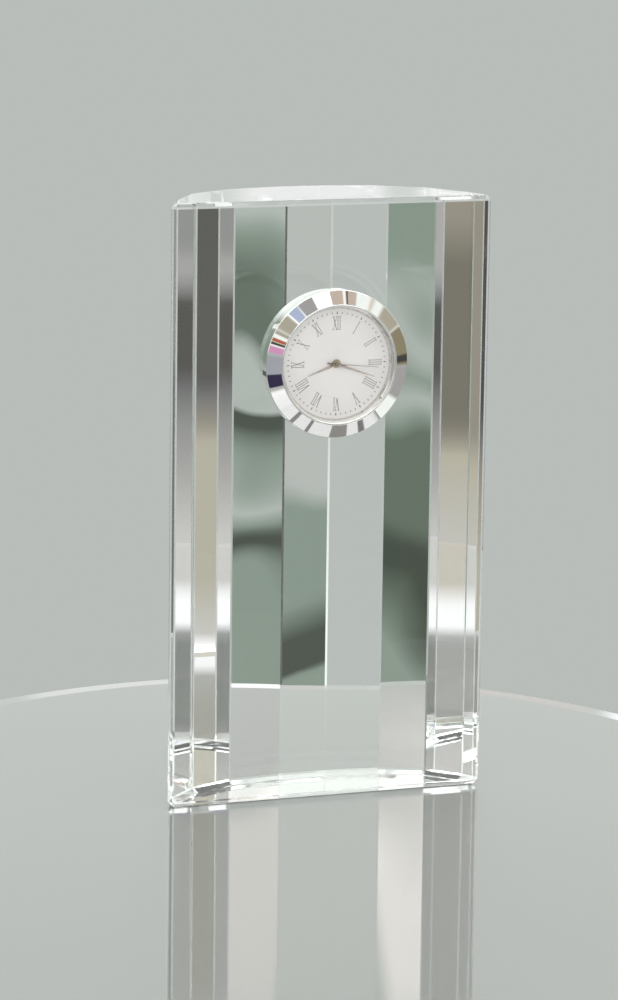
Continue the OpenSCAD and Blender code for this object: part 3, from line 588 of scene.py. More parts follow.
class ClockOperator:
    """What the clock's operators share."""

    bl_options = {"REGISTER", "UNDO"}

    def execute(self, context):
        self.build(context)
        return {"FINISHED"}


class CLOCK_OT_crystal_block(ClockOperator, bpy.types.Operator):
    """Cut the crystal block from a plain bar, facet by facet, and bore it for the clock"""

    bl_idname = "clock.crystal_block"
    bl_label = "Crystal block"
    merge_mm = 0.02  # corners of the cuts that lie closer than this are one corner
    flat_degrees = 0.5  # faces that meet at less than this are one face
    sharp_degrees = 5  # edges that turn by more than this are bevelled
    smooth_degrees = 3
    near_mm = 0.1  # how far a face's middle may lie outside the bore
    edge_slot, bore_slot, foot_slot = 1, 2, 3

    def plan(self, sizes):
        """The block's outline as seen from above, anticlockwise from the front's right end."""
        side = (sizes.front_bevel + sizes.side_flat) / MM
        x, y = block_high.x, block_high.y - face_y
        outer_x = x - sizes.outer_width / MM
        second_x = outer_x - sizes.third_width / MM
        inner_x = second_x - sizes.second_width / MM
        middle_x = inner_x - sizes.inner_width / MM
        inner_y = y - sizes.inner_fall / MM
        second_y = inner_y - sizes.second_fall / MM
        outer_y = second_y - sizes.third_fall / MM
        right = [
            (x - sizes.front_bevel / MM, 0), (x, sizes.front_bevel / MM), (x, side), (outer_x, outer_y),
            (second_x, second_y), (inner_x, inner_y), (middle_x, y),
        ]
        return [Vector((px, py + face_y, 0)) for px, py in right + [(-px, py) for px, py in right[::-1]]]

    def build(self, context):
        sizes = context.scene.clock_crystal
        piece = block("crystal", block_low, block_high)
        plan = self.plan(sizes)
        top = block_high.z - sizes.top_bevel / MM
        foot = block_low.z + sizes.foot_bevel / MM
        edit(piece)
        for i, here in enumerate(plan):
            run = plan[(i + 1) % len(plan)] - here
            out = Vector((run.y, -run.x, 0)).normalized()
            if max(abs(out.x), abs(out.y)) < 0.999:
                self.cut(here, out)
            for level, up in ((top, 1), (foot, -1)):
                self.cut((here.x, here.y, level), out + Vector((0, 0, up)))
        bpy.ops.mesh.select_all(action="SELECT")
        bpy.ops.mesh.remove_doubles(threshold=self.merge_mm)
        bpy.ops.mesh.dissolve_limited(angle_limit=math.radians(self.flat_degrees))
        leave_edit()
        finishes = (crystal_finish, painted_edge_highlight_finish, bore_finish, painted_foot_glint_finish)
        wear(piece, *(finish(sizes) for finish in finishes))
        # The fine bevel takes the edge finish, whose white is a painted highlight.
        apply_modifier(
            piece, "BEVEL", width=sizes.edge_width / MM, segments=1, limit_method="ANGLE",
            angle_limit=math.radians(self.sharp_degrees), material=self.edge_slot, use_clamp_overlap=False,
        )
        radius, depth = sizes.bore_diameter / MM / 2, sizes.bore_depth / MM
        bore = rod("bore", radius, -depth, 1, sides=256)
        bore.matrix_world = Matrix.Scale(1 / MM, 4) @ in_insert
        carve(piece, bore)
        for polygon in piece.data.polygons:
            middle = polygon.center
            away = math.hypot(middle.x, middle.z - dial_z) - radius
            behind = middle.y - face_y
            if away < self.near_mm < behind < depth + self.near_mm:
                polygon.material_index = self.bore_slot
            # Faces of the foot take the foot finish, with its pale grey painted highlight.
            elif middle.z < foot and polygon.normal.z < -0.6:
                polygon.material_index = self.foot_slot
        place(piece, on_block, smooth_degrees=self.smooth_degrees)
        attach(piece, "crystal")
        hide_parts("crystal_block")

    def cut(self, point, normal):
        """Cuts off what lies beyond a plane and closes the cut."""
        bpy.ops.mesh.select_all(action="SELECT")
        bpy.ops.mesh.bisect(
            plane_co=point, plane_no=normal, use_fill=True, clear_outer=True, threshold=1e-5
        )


class CLOCK_OT_bezel(ClockOperator, bpy.types.Operator):
    """Turn the chrome bezel, the glass and the polished ring behind it"""

    bl_idname = "clock.bezel"
    bl_label = "Bezel and glass"
    sides = 256
    gap = 0.02  # hair of air round the glass and the ring, so that they lie in their seats
    fit = 0.04  # air between the bezel and the seal
    pressed = 0.02  # air between the bezel and the case's shoulder
    seal_seat = 0.92  # level of the step that sits on the case's shoulder
    glass_bevel = 0.08

    def build(self, context):
        sizes = context.scene.clock_bezel
        rim_r, front = radius_of("bezel"), levels("bezel")[1]
        glass_r, (glass_back, glass_front) = radius_of("glass"), levels("glass")
        rim = front - sizes.rise / MM
        lip_r = glass_r - sizes.lip_cover / MM
        lip_out = lip_r + sizes.lip_width / MM
        wall = sizes.wall / MM
        edge = sizes.edge_radius / MM
        seal_r, shoulder_r = radius_of("glass_seal") + self.fit, radius_of("case") + self.pressed
        bezel = turned("bezel.turned", rounded([
            (rim_r - wall, 0), (rim_r, 0, 0.06), (rim_r, rim, edge), (lip_out + 0.07, front - 0.1, 0.04),
            (lip_out, front - 0.16, 0.03), (lip_out - 0.06, front, 0.12), (lip_r + 0.04, front, 0.14),
            (lip_r, front - 0.2, 0.05), (lip_r, glass_front + 0.01), (seal_r, glass_front + 0.01),
            (seal_r, self.seal_seat), (shoulder_r, self.seal_seat), (shoulder_r, rim - wall),
            (rim_r - wall, rim - wall),
        ]), steps=self.sides)
        place(bezel, in_insert, smooth_degrees=28)
        apply_modifier(bezel, "WEIGHTED_NORMAL", keep_sharp=True, weight=100)
        wear(bezel, chrome_finish("polished_chrome", sizes.chrome))
        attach(bezel, "clock_insert")
        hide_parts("bezel")

        gap, bevel = self.gap, self.glass_bevel
        glass_r, glass_back, glass_front = glass_r - gap, glass_back + gap, glass_front - gap
        glass = turned("glass.flat", [
            (0, glass_back), (glass_r - bevel, glass_back), (glass_r, glass_back + bevel),
            (glass_r, glass_front - bevel), (glass_r - bevel, glass_front), (0, glass_front),
        ], closed=False)
        place(glass, in_insert)
        wear(glass, pane_finish())
        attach(glass, "clock_insert")
        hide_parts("glass")

        ring_back, ring_front = levels("dial_ring")
        dial_r = radius_of("dial")
        inner = dial_r - sizes.ring_width / MM
        ring = turned("dial_ring.polished", rounded([
            (inner, ring_back + gap), (dial_r, ring_back + gap), (dial_r, ring_front - gap),
            (inner + sizes.ring_lean / MM, ring_front - sizes.ring_shoulder / MM, 0.06),
        ]), steps=self.sides)
        place(ring, in_insert, smooth_degrees=30)
        wear(ring, chrome_finish("polished_ring", sizes.ring_steel, rough=(0.02, 0.05)))
        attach(ring, "clock_insert")
        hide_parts("dial_ring")


class CLOCK_OT_dial(ClockOperator, bpy.types.Operator):
    """Turn the dial and print its numerals and minute track"""

    bl_idname = "clock.dial"
    bl_label = "Dial and printing"
    numerals = ("XII", "I", "II", "III", "IIII", "V", "VI", "VII", "VIII", "IX", "X", "XI")
    hole = 1.08  # radius of the hole for the hour wheel's pipe
    letter_air = 0.16  # air beside a V or an X
    hour_stroke, minute_stroke = 1.7, 1.15  # widths of the marks, in thick strokes

    def build(self, context):
        sizes = context.scene.clock_dial
        back, face = levels("dial")
        outer = radius_of("dial")
        dial = turned("dial.plate", rounded([
            (self.hole, back), (outer, back), (outer, face, 0.03), (self.hole, face, 0.06),
        ], steps=3), steps=192)
        place(dial, in_insert, smooth_degrees=30)
        wear(dial, dial_finish(sizes.paper))
        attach(dial, "clock_insert")
        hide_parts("dial")

        ink = grained("dial_ink", sizes.ink, spread=0.12, scale=14.0, rough=(0.35, 0.5))
        letters = {name: self.letter(name, sizes, face) for name in "IVX"}
        pieces = []
        for hour, name in enumerate(self.numerals):
            widths = [self.width(letter, sizes) for letter in name]
            along = -sum(widths) / 2
            for letter, wide in zip(name, widths):
                copy = added(letter, letters[letter].data.copy())
                at = Matrix.Translation((along + wide / 2, sizes.numeral_radius / MM, 0))
                copy.data.transform(clockwise(30 * hour) @ at)
                along += wide
                pieces.append(copy)
        for letter in letters.values():
            bpy.data.objects.remove(letter)
        numerals = join("numerals.printed", pieces)
        place(numerals, in_insert)
        wear(numerals, ink)
        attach(numerals, "clock_insert")
        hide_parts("numerals")

        height = sizes.ink_height / MM
        marks = []
        for minute in range(60):
            long_mark = minute % 5 == 0
            half = (sizes.hour_mark if long_mark else sizes.minute_mark) / MM / 2
            wide = sizes.thick_stroke / MM * (self.hour_stroke if long_mark else self.minute_stroke) / 2
            mark = block("mark", (-wide, -half, face), (wide, half, face + height))
            at = Matrix.Translation((0, sizes.track_radius / MM, 0))
            mark.data.transform(clockwise(6 * minute) @ at)
            marks.append(mark)
        track = join("minute_track.printed", marks)
        place(track, in_insert)
        wear(track, ink)
        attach(track, "clock_insert")
        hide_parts("minute_track")

    def width(self, letter, sizes):
        """How much of its line a letter takes up."""
        if letter == "I":
            return sizes.bar_pitch / MM
        return 2 * sizes.letter_half / MM + self.letter_air

    def stroke(self, start, end, wide, face, height):
        """One printed stroke between two places of the dial."""
        start, end = Vector(start), Vector(end)
        run = end - start
        piece = block("stroke", (0, -wide / 2, face), (run.length, wide / 2, face + height))
        piece.data.transform(
            Matrix.Translation((start.x, start.y, 0)) @ Matrix.Rotation(math.atan2(run.y, run.x), 4, "Z")
        )
        return piece

    def letter(self, name, sizes, face):
        """One letter with its serifs, standing on the line where y is 0."""
        high, ink = sizes.numeral_height / MM, sizes.ink_height / MM
        thick, thin = sizes.thick_stroke / MM, sizes.thin_stroke / MM
        half, serif = sizes.letter_half / MM, sizes.bar_pitch / MM / 2
        low_line, high_line = thin / 2, high - thin / 2

        def bar(x0, y0, x1, y1, wide):
            return self.stroke((x0, y0), (x1, y1), wide, face, ink)

        def foot(x, y):
            return bar(x - serif * 0.95, y, x + serif * 0.95, y, thin)

        if name == "I":
            strokes = [bar(0, 0, 0, high, (thick + thin) / 2), foot(0, low_line), foot(0, high_line)]
        elif name == "V":
            strokes = [
                bar(0, thin, -half, high, thick), bar(0, thin, half, high, thin),
                foot(-half, high_line), foot(half, high_line),
            ]
        else:
            strokes = [bar(half, 0, -half, high, thick), bar(-half, 0, half, high, thin)]
            strokes += [foot(side * half, y) for side in (-1, 1) for y in (low_line, high_line)]
        letter = join(name, strokes)
        edit(letter)
        bpy.ops.mesh.intersect_boolean(operation="UNION", use_self=True, solver="EXACT")
        leave_edit()
        return letter


class CLOCK_OT_hands(ClockOperator, bpy.types.Operator):
    """Shape the ridged hour and minute hands, the seconds hand and its cap"""

    bl_idname = "clock.hands"
    bl_label = "Hands"
    needle_boss, needle_hole = 0.45, 0.14  # radii at the seconds hand's root
    thin_edge = 0.25  # level of a hand's thin edges, as a share of its thickness

    def build(self, context):
        sizes, colours = context.scene.clock_hands, context.scene.clock_dial
        second_turn = 6 * sizes.second
        minute_turn = 6 * sizes.minute + second_turn / 60
        hour_turn = 30 * sizes.hour + minute_turn / 12
        metal = chrome_finish("hand_metal", colours.hand_metal, rough=(0.10, 0.18))
        # The hub finish is the hand metal made 1.7 times lighter: a painted highlight on each hand's boss,
        # with a rougher gloss of its own.
        hub = chrome_finish("hub_painted_highlight", shade(colours.hand_metal, 1.7), rough=(0.28, 0.36))
        needle = chrome_finish("needle_metal", colours.needle_metal, rough=(0.16, 0.26))
        tip = sizes.tip_width / MM
        for node, body, long, wide, turn, boss, hole in (
            ("hour_hand", "hours", sizes.hour_length, sizes.hour_width, hour_turn, 1.05, 0.95),
            ("minute_hand", "minutes", sizes.minute_length, sizes.minute_width, minute_turn, 0.8, 0.64),
        ):
            back, front = levels(node)
            hand = self.ridged(node + ".ridged", long / MM, wide / MM, tip, back, front)
            carve(hand, rod("boss", boss, back, front, sides=96), "UNION")
            carve(hand, rod("hole", hole, back - 1, front + 1, sides=96))
            wear(hand, metal, hub)
            # The boss takes the hub finish with its painted highlight.
            for polygon in hand.data.polygons:
                polygon.material_index = int(polygon.center.xy.length < boss + 0.02)
            place(hand, in_insert @ clockwise(turn), smooth_degrees=12)
            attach(hand, body)
            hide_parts(node)

        back, front = levels("seconds_hand")
        long, wide = sizes.second_length / MM, sizes.second_width / MM / 2
        hand = block("seconds_hand.needle", (-wide, 0, back), (wide, long, front))
        self.taper(hand, 0.6, lambda at: at.y > long - 0.01)
        tail_l, tail_w = sizes.tail_length / MM, sizes.tail_width / MM / 2
        tail = block("tail", (-tail_w, -tail_l, back), (tail_w, 0, front))
        self.taper(tail, 0.7, lambda at: at.y > -0.01)
        carve(hand, tail, "UNION")
        carve(hand, rod("boss", self.needle_boss, back, front, sides=64), "UNION")
        carve(hand, rod("hole", self.needle_hole, back - 1, front + 1, sides=48))
        place(hand, in_insert @ clockwise(second_turn), smooth_degrees=20)
        wear(hand, needle)
        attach(hand, "seconds")
        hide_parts("seconds_hand")

        back, front = levels("hub_cap")
        cap_r = radius_of("hub_cap")
        cap = turned("hub_cap.turned", [
            (0, back), (cap_r, back), (cap_r, back + 0.07), (cap_r - 0.03, front - 0.04),
            (cap_r - 0.09, front - 0.01), (cap_r - 0.16, front), (cap_r - 0.24, front - 0.02),
            (cap_r - 0.3, front - 0.06), (0, front - 0.06),
        ], steps=64, closed=False)
        place(cap, in_insert, smooth_degrees=50)
        wear(cap, needle)
        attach(cap, "seconds")
        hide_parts("hub_cap")

    def taper(self, piece, factor, test):
        """Narrows the end of a hand that the test picks."""
        for vertex in piece.data.vertices:
            if test(vertex.co):
                vertex.co.x *= factor

    def ridged(self, name, long, wide, tip, back, front):
        """A hand with a ridge along its middle that falls away to thin edges."""
        hand = block(name, (-wide / 2, 0, back), (wide / 2, long, front))
        edit(hand)
        bpy.ops.mesh.bisect(plane_co=(0, 0, 0), plane_no=(1, 0, 0))
        leave_edit()
        edge = back + (front - back) * self.thin_edge
        for vertex in hand.data.vertices:
            at = vertex.co
            if abs(at.x) > 0.01 and at.z > edge:
                at.z = edge
            if at.y > long / 2:
                at.x *= tip / wide
        return hand


class CLOCK_OT_case(ClockOperator, bpy.types.Operator):
    """Turn the case, its ribbed rubber grip, the back cover and the crown"""

    bl_idname = "clock.case"
    bl_label = "Case"

    def build(self, context):
        rubber = rubber_finish()
        dress(grained("clear_nylon", (0.62, 0.61, 0.58), 0.03, 2.0, (0.25, 0.35)), "glass_seal")
        dress(
            grained("nickel_plate", (0.66, 0.64, 0.60), 0.05, 1.5, (0.2, 0.3), 1.0, 0.003, (0.3, 4, 0.3)),
            "case",
        )
        dress(rubber, "grip_ring back_seal")
        dress(turned_steel_finish("faced_steel", (0.62, 0.62, 0.63)), "back_cover")
        dress(bpy.data.materials["polished_chrome"], "crown")


class CLOCK_OT_movement(ClockOperator, bpy.types.Operator):
    """Finish the quartz movement: plates, wheels, motor, circuit, battery and crown work"""

    bl_idname = "clock.movement"
    bl_label = "Movement"

    def build(self, context):
        brushed = (5, 0.4, 0.4)
        dress(
            grained("train_brass", (0.72, 0.52, 0.22), 0.08, 1.2, (0.2, 0.32), 1.0, 0.002, brushed),
            "main_plate rotor_pinion fifth_wheel fourth_wheel third_wheel centre_wheel cannon_pinion "
            "minute_wheel hour_wheel setting_wheel negative_strip",
        )
        dress(
            grained("bridge_nickel", (0.62, 0.61, 0.58), 0.06, 1.2, (0.22, 0.34), 1.0, 0.002, brushed),
            "train_bridge quartz_can",
        )
        dress(
            grained("screw_steel", (0.48, 0.49, 0.52), 0.06, 3.0, (0.15, 0.25), 1.0),
            "bridge_screws clamp_screw stator coil_core battery_clamp clutch_pinion stem setting_lever",
        )
        dress(grained("cell_steel", (0.66, 0.66, 0.67), 0.04, 0.8, (0.16, 0.24), 1.0), "button_cell")
        dress(
            grained("holder_plastic", (0.80, 0.79, 0.74), 0.03, 1.5, (0.4, 0.5), depth=0.01),
            "movement_holder",
        )
        dress(grained("chip_epoxy", (0.015, 0.015, 0.017), 0.3, 8.0, (0.45, 0.6), depth=0.01), "chip")
        dress(
            grained("magnet_alloy", (0.20, 0.20, 0.22), 0.15, 5.0, (0.4, 0.55), 1.0, 0.01),
            "rotor_magnet",
        )
        dress(board_finish(), "circuit_board")
        dress(wire_finish(), "coil_winding")


class CLOCK_OT_stage(ClockOperator, bpy.types.Operator):
    """Set the oval table, the lamps, the studio round them and the camera"""

    bl_idname = "clock.stage"
    bl_label = "Stage"

    # The tones of the studio's soft cards.
    tones = {
        "window": (4.0, 4.0, 4.0),
        "white": (2.3, 2.3, 2.35),
        "sky": (1.03, 1.08, 1.03),
        "light": (0.60, 0.59, 0.57),
        "mist": (0.41, 0.40, 0.39),
        "grey": (0.28, 0.28, 0.27),
        "dusk": (0.15, 0.15, 0.15),
        "shade": (0.07, 0.065, 0.06),
        "sand": (0.47, 0.44, 0.35),
        "clay": (0.29, 0.26, 0.21),
        "olive": (0.30, 0.26, 0.17),
        "beige": (0.62, 0.52, 0.44),
        "peach": (0.74, 0.64, 0.54),
        "cream": (1.22, 1.12, 0.95),
        "straw": (0.98, 0.88, 0.72),
        "umber": (0.17, 0.155, 0.12),
        "pearl": (1.40, 1.42, 1.41),
        "haze": (0.92, 0.92, 0.89),
        "linen": (1.45, 1.39, 1.33),
        "plain": (0.475, 0.497, 0.475),
        "pane": (0.44, 0.48, 0.45),
        "leaf": (0.24, 0.30, 0.25),
        "moss": (0.115, 0.15, 0.115),
        "deep": (0.042, 0.056, 0.04),
        "bright": (1.1, 1.06, 1.02),
        "blush": (2.0, 1.9, 1.82),
        "navy": (0.045, 0.035, 0.08),
        "slate": (0.40, 0.41, 0.46),
        "ice": (0.48, 0.56, 0.74),
        "rust": (0.50, 0.14, 0.07),
        "rose": (0.72, 0.34, 0.56),
    }
    # Soft cards that only glass and metal see: direction from the clock's back towards its right,
    # height, half width, half height and softness, all in degrees, and the tone.
    cards = (
        (75, -10, 22, 14, 3, "moss"),
        (-6, 4, 9, 13, 3, "leaf"),
        (-80, -10, 24, 15, 3, "clay"),
        (-32, -8, 22, 9, 4, "leaf"),
        (160, 52, 60, 12, 3, "window"),
        (121, 33, 8, 6, 1.5, "peach"),
        (-152, 34, 10, 7, 1.5, "window"),
        (142, 56, 9, 2.6, 0.6, "beige"),
        (122, 50, 2, 4, 0.5, "shade"),
        (179, 56, 2, 4, 0.4, "grey"),
        (-165, 49, 1.6, 4, 0.4, "grey"),
        (151, 38.5, 12, 4, 0.8, "beige"),
        (149.5, 39.5, 1.3, 4, 0.3, "bright"),
        (147, 39.5, 0.8, 4, 0.3, "dusk"),
        (117, 16, 5, 6.5, 1.5, "sand"),
        (109, -1, 6, 10, 0.8, "olive"),
        (107, -7.5, 5, 2, 0.8, "shade"),
        (107, -20, 6, 8.5, 1.5, "mist"),
        (112, -36, 8, 8, 1.5, "sky"),
        (-150, -30, 5, 4.5, 0.5, "rust"),
        (-148, -20.5, 4, 6, 0.6, "navy"),
        (-147, -8, 4, 6.7, 0.6, "slate"),
        (-148.5, 3.2, 4, 2.4, 0.7, "rose"),
        (-150, 7.6, 4, 0.9, 0.4, "shade"),
        (-151.5, 10, 4, 1.2, 0.5, "rust"),
        (-151.5, 15, 4, 1.2, 0.5, "sand"),
        (-157, 22, 5, 5.5, 2.5, "sand"),
        (-164, 30, 4, 2.7, 0.5, "ice"),
        (-174, 36, 7, 3, 0.5, "mist"),
    )
    # Stops that columns share: the dark foot of the two left strips, and the table's far rim as the
    # facets mirror it.
    dark_foot = (
        (-11.9, "light"), (-11, "mist"), (-10.2, "grey"), (-9.7, "dusk"), (-9.4, "shade"), (-8.45, "shade"),
        (-8.2, "grey"), (-7.9, "mist"),
    )
    lit_rim = ((8, "bright"), (12.5, "bright"), (12.85, "white"), (13.15, "white"))
    sharp_rim = ((8, "bright"), (12.5, "bright"), (12.75, "white"), (13.15, "white"), (13.3, "shade"))
    # Narrow columns of cards whose tone changes with the height, from low to high: direction,
    # half width, softness and slant. The slanted ones sway a little, like leaves out of focus.
    columns = (
        (-164.7, 0.7, 0.1, 0, (
            *dark_foot, (-7.6, "grey"), (0, "grey"), *sharp_rim, (13.7, "deep"), (13.95, "dusk"),
            (14.1, "deep"), (14.5, "deep"), (14.7, "grey"), (16, "light"),
        )),
        (-168.5, 0.7, 0.1, 0, (
            *dark_foot, (-7.6, "mist"), (0, "mist"), *sharp_rim, (14.4, "shade"), (14.7, "grey"),
            (16, "light"),
        )),
        (-156.1, 0.5, 0.05, 0, (
            (-12.5, "light"), (-10.6, "sand"), (-10.4, "clay"), (-10.1, "umber"), (-7.8, "umber"),
            (-7.2, "clay"), (8, "straw"), (12.5, "straw"), (12.85, "white"), (13.15, "white"),
            (13.3, "mist"), (16, "light"),
        )),
        (167.1, 0.5, 0.1, 0, (
            (-12.7, "light"), (-10.8, "sand"), (-10.3, "clay"), (-7, "clay"), *lit_rim, (13.3, "mist"),
            (16, "light"),
        )),
        (-43.7, 1.5, 0.3, 0, (
            (-12.2, "sand"), (-10.8, "clay"), (-10.3, "dusk"), (-9.9, "shade"), (-7, "shade"),
            (8, "bright"), (12.5, "bright"), (12.8, "white"), (13.15, "white"), (13.3, "clay"),
            (16, "light"),
        )),
        (129.5, 2.5, 0.3, 0, (
            (-13.9, "grey"), (-13.75, "white"), (-13.55, "white"), (-13.4, "light"), (-12.5, "sand"),
            (-10.5, "sand"), (-10.2, "clay"), (-9.8, "dusk"), (-9.6, "shade"), (-7, "shade"),
            (8, "cream"), (13.4, "cream"), (13.5, "white"), (13.75, "white"), (13.9, "light"),
            (14.3, "sand"), (16, "sand"),
        )),
        (141.9, 0.5, 0.1, 0, (
            (-12.6, "dusk"), (-10.2, "dusk"), (-9.6, "dusk"), (-9, "grey"), (-7, "grey"), (12.8, "dusk"),
            (13.1, "light"), (16, "grey"),
        )),
        (25.4, 0.75, 0.1, 0.4, (
            (-13, "leaf"), (-12.6, "leaf"), (-12.2, "deep"), (-11.95, "deep"), (-11.7, "leaf"),
            (-11.4, "pane"), (-10.9, "leaf"), (-10.3, "deep"), (-10, "deep"), (-9.85, "pane"),
            (-9.2, "pane"), (-8.9, "moss"), (-8.4, "moss"), (-7.9, "leaf"), (-7.5, "pane"), (12, "sky"),
            (13.4, "haze"), (15.3, "haze"), (16.2, "linen"),
        )),
        (19.2, 0.45, 0.05, -0.4, (
            (-13.9, "leaf"), (-13.45, "leaf"), (-13.3, "deep"), (-12.8, "deep"), (-12.6, "moss"),
            (-12.3, "leaf"), (-11.4, "leaf"), (-10.9, "plain"), (-2, "plain"), (2, "sky"),
        )),
        (22.3, 1.2, 0.2, 0, ((-14, "shade"), (-2, "shade"), (2, "sky"))),
        (16.7, 0.7, 0.2, 0, ((-13, "sky"), (-9, "light"), (0, "light"), (4, "sky"))),
        (2.4, 1.2, 0.2, 0.3, (
            (-13.9, "leaf"), (-13.3, "moss"), (-12.8, "deep"), (-12.4, "deep"), (-11.8, "moss"),
            (-10.15, "moss"), (-9.9, "leaf"), (-9.6, "pane"), (-9.1, "leaf"), (-8.5, "pane"),
            (-8.1, "leaf"), (-7, "leaf"), (12, "sky"), (13.4, "haze"), (14.2, "haze"), (15.4, "linen"),
            (16.4, "blush"),
        )),
    )

    # Cards laid over the columns, for the crystal's top face and for the table's sloping edge.
    glints = (
        (19, 6.7, 12, 1.3, 0.5, "pearl"),
        (17.8, 6.9, 0.4, 0.9, 0.3, "sky"),
        (20.6, 6.8, 0.25, 0.9, 0.2, "sky"),
        (15.9, 10, 1.3, 1.3, 0.3, "pearl"),
        (19.2, 10, 0.5, 1.3, 0.3, "bright"),
        (22.8, 10, 1.4, 1.3, 0.3, "bright"),
        (25.4, 10, 0.9, 1.3, 0.3, "white"),
    )

    def build(self, context):
        settings = context.scene.clock_stage
        self.table(settings)
        self.studio(context, settings)
        self.lamps()
        self.camera(context, settings)

    def table(self, settings):
        """An oval pale table with a sloping edge, whose far rim passes behind the clock."""
        bpy.ops.mesh.primitive_cylinder_add(
            vertices=256, radius=1, depth=settings.table_depth, rotation=(0, 0, -settings.turn),
            location=(settings.table_x, settings.table_y, -settings.table_gap - settings.table_depth / 2),
        )
        floor = bpy.context.active_object
        floor.name = "floor"
        floor.scale = (settings.table_width, settings.table_length, 1)
        apply_transform()
        edit(floor)
        bpy.ops.mesh.select_all(action="DESELECT")
        bpy.ops.mesh.select_mode(type="FACE")
        leave_edit()

        def top_face():
            return max(floor.data.polygons, key=lambda face: (round(face.center.z, 4), face.area))

        top_face().select = True
        bpy.ops.object.mode_set(mode="EDIT")
        bpy.ops.mesh.inset(thickness=settings.table_edge, depth=0)
        leave_edit()
        flat = set(top_face().vertices)
        for vertex in floor.data.vertices:
            if vertex.co.z > -0.001 and vertex.index not in flat:
                vertex.co.z -= settings.table_fall
        apply_modifier(
            floor, "BEVEL", width=settings.table_round, segments=3,
            limit_method="ANGLE", angle_limit=math.radians(30),
        )
        bpy.ops.object.shade_smooth_by_angle(angle=math.radians(1.2))
        top = Finish("table_top", Roughness=0.4, Coat_Weight=1.0, Coat_Roughness=0.003, Coat_IOR=2.4)
        cloud = top.noise(0.01, detail=1.0)
        top.tint(cloud, shade(settings.table, 0.98), shade(settings.table, 1.02))
        wear(floor, top.material)

    def studio(self, context, settings):
        """The world: a plain pale backdrop, soft light, and the cards that only glass and metal see."""
        world = Studio(context)
        rising = world.spread(world.height, 0, 7, 0, 1, curve=SOFT)
        room = world.mix(rising, settings.backdrop, self.tones["sky"])
        room = self.laid(world, room, self.cards)
        near = world.band(world.height, 0, 19, 0.8)
        leaves = world.node("TexNoise", Scale=45, Detail=0)
        world.link(world.towards, leaves.inputs["Vector"])
        sway = world.spread(leaves.outputs["Fac"], 0.25, 0.75, -0.5, 0.5)
        for middle, half_w, soft, slant, stops in self.columns:
            inside = world.math("MULTIPLY", world.band(world.azimuth, middle, half_w, soft, True), near)
            level = world.height
            if slant:
                away = world.math("MULTIPLY", world.math("SUBTRACT", world.azimuth, middle), slant)
                level = world.math("ADD", world.math("ADD", world.height, sway), away)
            room = world.mix(inside, room, self.column(world, level, stops))
        room = self.laid(world, room, self.glints)

        # Light from all round, strongest from above the front left.
        lit = world.math("MULTIPLY", world.x, -0.25)
        for axis, share in ((world.y, -0.8), (world.z, 0.55)):
            lit = world.math("ADD", lit, world.math("MULTIPLY", axis, share))
        strength = world.spread(lit, -1, 1, 0.6, 1.95)
        path = world.node("LightPath").outputs
        clear = world.math("MAXIMUM", path["Is Glossy Ray"], path["Is Transmission Ray"])
        looks = world.math("MULTIPLY", clear, world.math("LESS_THAN", path["Diffuse Depth"], 0.5))
        seen = world.mix(looks, settings.ambient, room)
        seen = world.mix(path["Is Camera Ray"], seen, settings.backdrop)
        plain = world.math("MAXIMUM", looks, path["Is Camera Ray"])
        soft = world.math("MULTIPLY", strength, world.math("SUBTRACT", 1, plain))
        background = world.node("Background")
        world.link(seen, background.inputs["Color"])
        world.link(world.math("ADD", plain, soft), background.inputs["Strength"])
        world.link(background.outputs[0], world.node("OutputWorld").inputs["Surface"])

    def column(self, world, height, stops):
        """The tones of a column over a height of -20 to 20 degrees."""
        reach = 20
        ramp = world.node("ValToRGB")
        elements = ramp.color_ramp.elements
        for stop, tone in stops[1:-1]:
            elements.new((stop + reach) / (2 * reach)).color = (*self.tones[tone], 1)
        for end in (0, -1):
            stop, tone = stops[end]
            elements[end].position = (stop + reach) / (2 * reach)
            elements[end].color = (*self.tones[tone], 1)
        world.link(world.spread(height, -reach, reach, 0, 1), ramp.inputs["Fac"])
        return ramp.outputs["Color"]

    def laid(self, world, room, cards):
        """The room with cards laid over it."""
        for middle, level, half_w, half_h, soft, tone in cards:
            across = world.band(world.azimuth, middle, half_w, soft, True)
            inside = world.math("MULTIPLY", across, world.band(world.height, level, half_h, soft))
            room = world.mix(inside, room, self.tones[tone])
        return room

    def lamps(self):
        """Soft lamps above the front left, above the right and behind."""
        for name, place_at, size, energy in (
            ("lamp_key", (-0.7, -1.0, 1.2), 0.8, 3.0),
            ("lamp_fill", (0.9, -0.7, 0.8), 0.8, 1.5),
            ("lamp_back", (-0.2, 0.9, 0.9), 0.6, 2.0),
        ):
            lamp = bpy.data.lights.new(name, "AREA")
            lamp.size, lamp.energy = size, energy
            piece = added(name, lamp)
            piece.location = place_at
            piece.visible_glossy = piece.visible_transmission = False
            towards = Vector((0, 0, 0.075)) - piece.location
            piece.rotation_euler = towards.to_track_quat("-Z", "Y").to_euler()

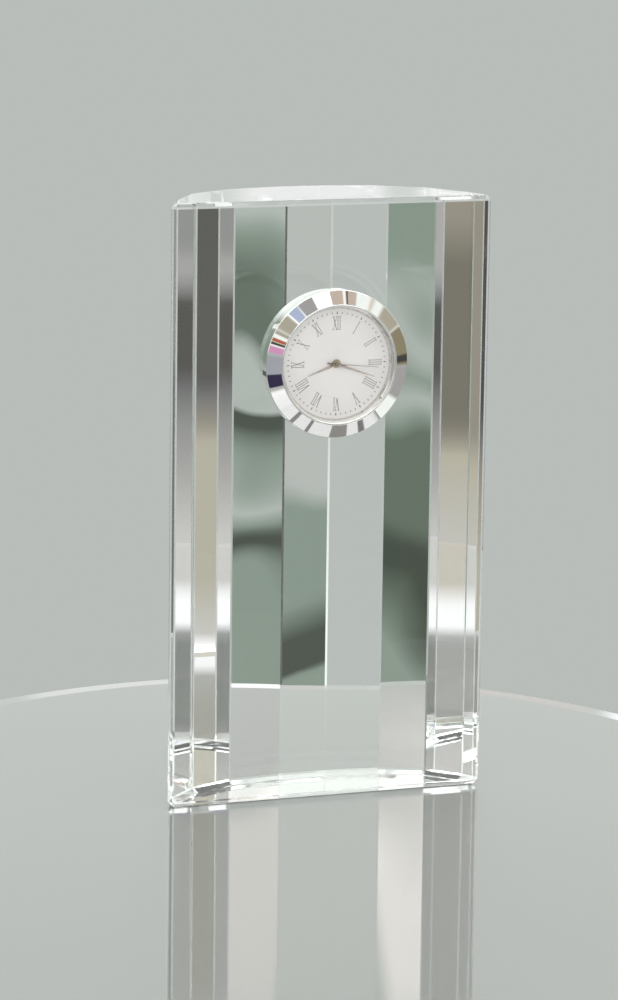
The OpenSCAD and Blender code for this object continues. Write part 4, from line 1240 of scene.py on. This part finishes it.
    def camera(self, context, settings):
        """The camera at the photograph's place, angle and focal length."""
        data = bpy.data.cameras.new("camera")
        data.lens, data.sensor_width, data.sensor_fit = settings.focal_length, 36, "AUTO"
        data.clip_start, data.clip_end = 0.05, 50
        camera = added("camera", data)
        level = math.cos(settings.pitch)
        forward = Vector((
            math.sin(settings.turn) * level, math.cos(settings.turn) * level, -math.sin(settings.pitch)
        ))
        target = Vector((settings.target_x, face_y * MM, settings.target_z))
        camera.location = target - forward * settings.distance
        tilt = Quaternion((0, 0, 1), settings.roll)
        camera.rotation_euler = (forward.to_track_quat("-Z", "Y") @ tilt).to_euler()
        context.scene.camera = camera
        # Light turns many times inside the block before it leaves.
        context.scene.cycles.glossy_bounces = 8
        context.scene.cycles.max_bounces = context.scene.cycles.transmission_bounces = 16
        context.scene.view_settings.view_transform = "Standard"


class CLOCK_PT_sidebar(bpy.types.Panel):
    """Lists the steps that build the clock"""

    bl_idname = "CLOCK_PT_sidebar"
    bl_label = "Crystal desk clock"
    bl_space_type = "VIEW_3D"
    bl_region_type = "UI"
    bl_category = "Crystal clock"

    def draw(self, context):
        for step in steps:
            self.layout.operator(step.bl_idname)
        for name in groups:
            column = self.layout.column(heading=groups[name].__doc__)
            group = getattr(context.scene, name)
            for key in group.bl_rna.properties.keys():
                if key not in ("name", "rna_type"):
                    column.prop(group, key)


groups = {
    "clock_crystal": CrystalSizes,
    "clock_bezel": BezelSizes,
    "clock_dial": DialSizes,
    "clock_hands": HandSizes,
    "clock_stage": StageSettings,
}
steps = (
    CLOCK_OT_crystal_block,
    CLOCK_OT_bezel,
    CLOCK_OT_dial,
    CLOCK_OT_hands,
    CLOCK_OT_case,
    CLOCK_OT_movement,
    CLOCK_OT_stage,
)


def register():
    for each in (*groups.values(), *steps, CLOCK_PT_sidebar):
        bpy.utils.register_class(each)
    for name, group in groups.items():
        setattr(bpy.types.Scene, name, bpy.props.PointerProperty(type=group))


def unregister():
    for name in groups:
        delattr(bpy.types.Scene, name)
    for each in (CLOCK_PT_sidebar, *reversed(steps), *reversed(groups.values())):
        bpy.utils.unregister_class(each)


def main():
    register()
    bpy.ops.clock.crystal_block()
    bpy.ops.clock.bezel()
    bpy.ops.clock.dial()
    bpy.ops.clock.hands()
    bpy.ops.clock.case()
    bpy.ops.clock.movement()
    bpy.ops.clock.stage()


if __name__ == "__main__":
    main()
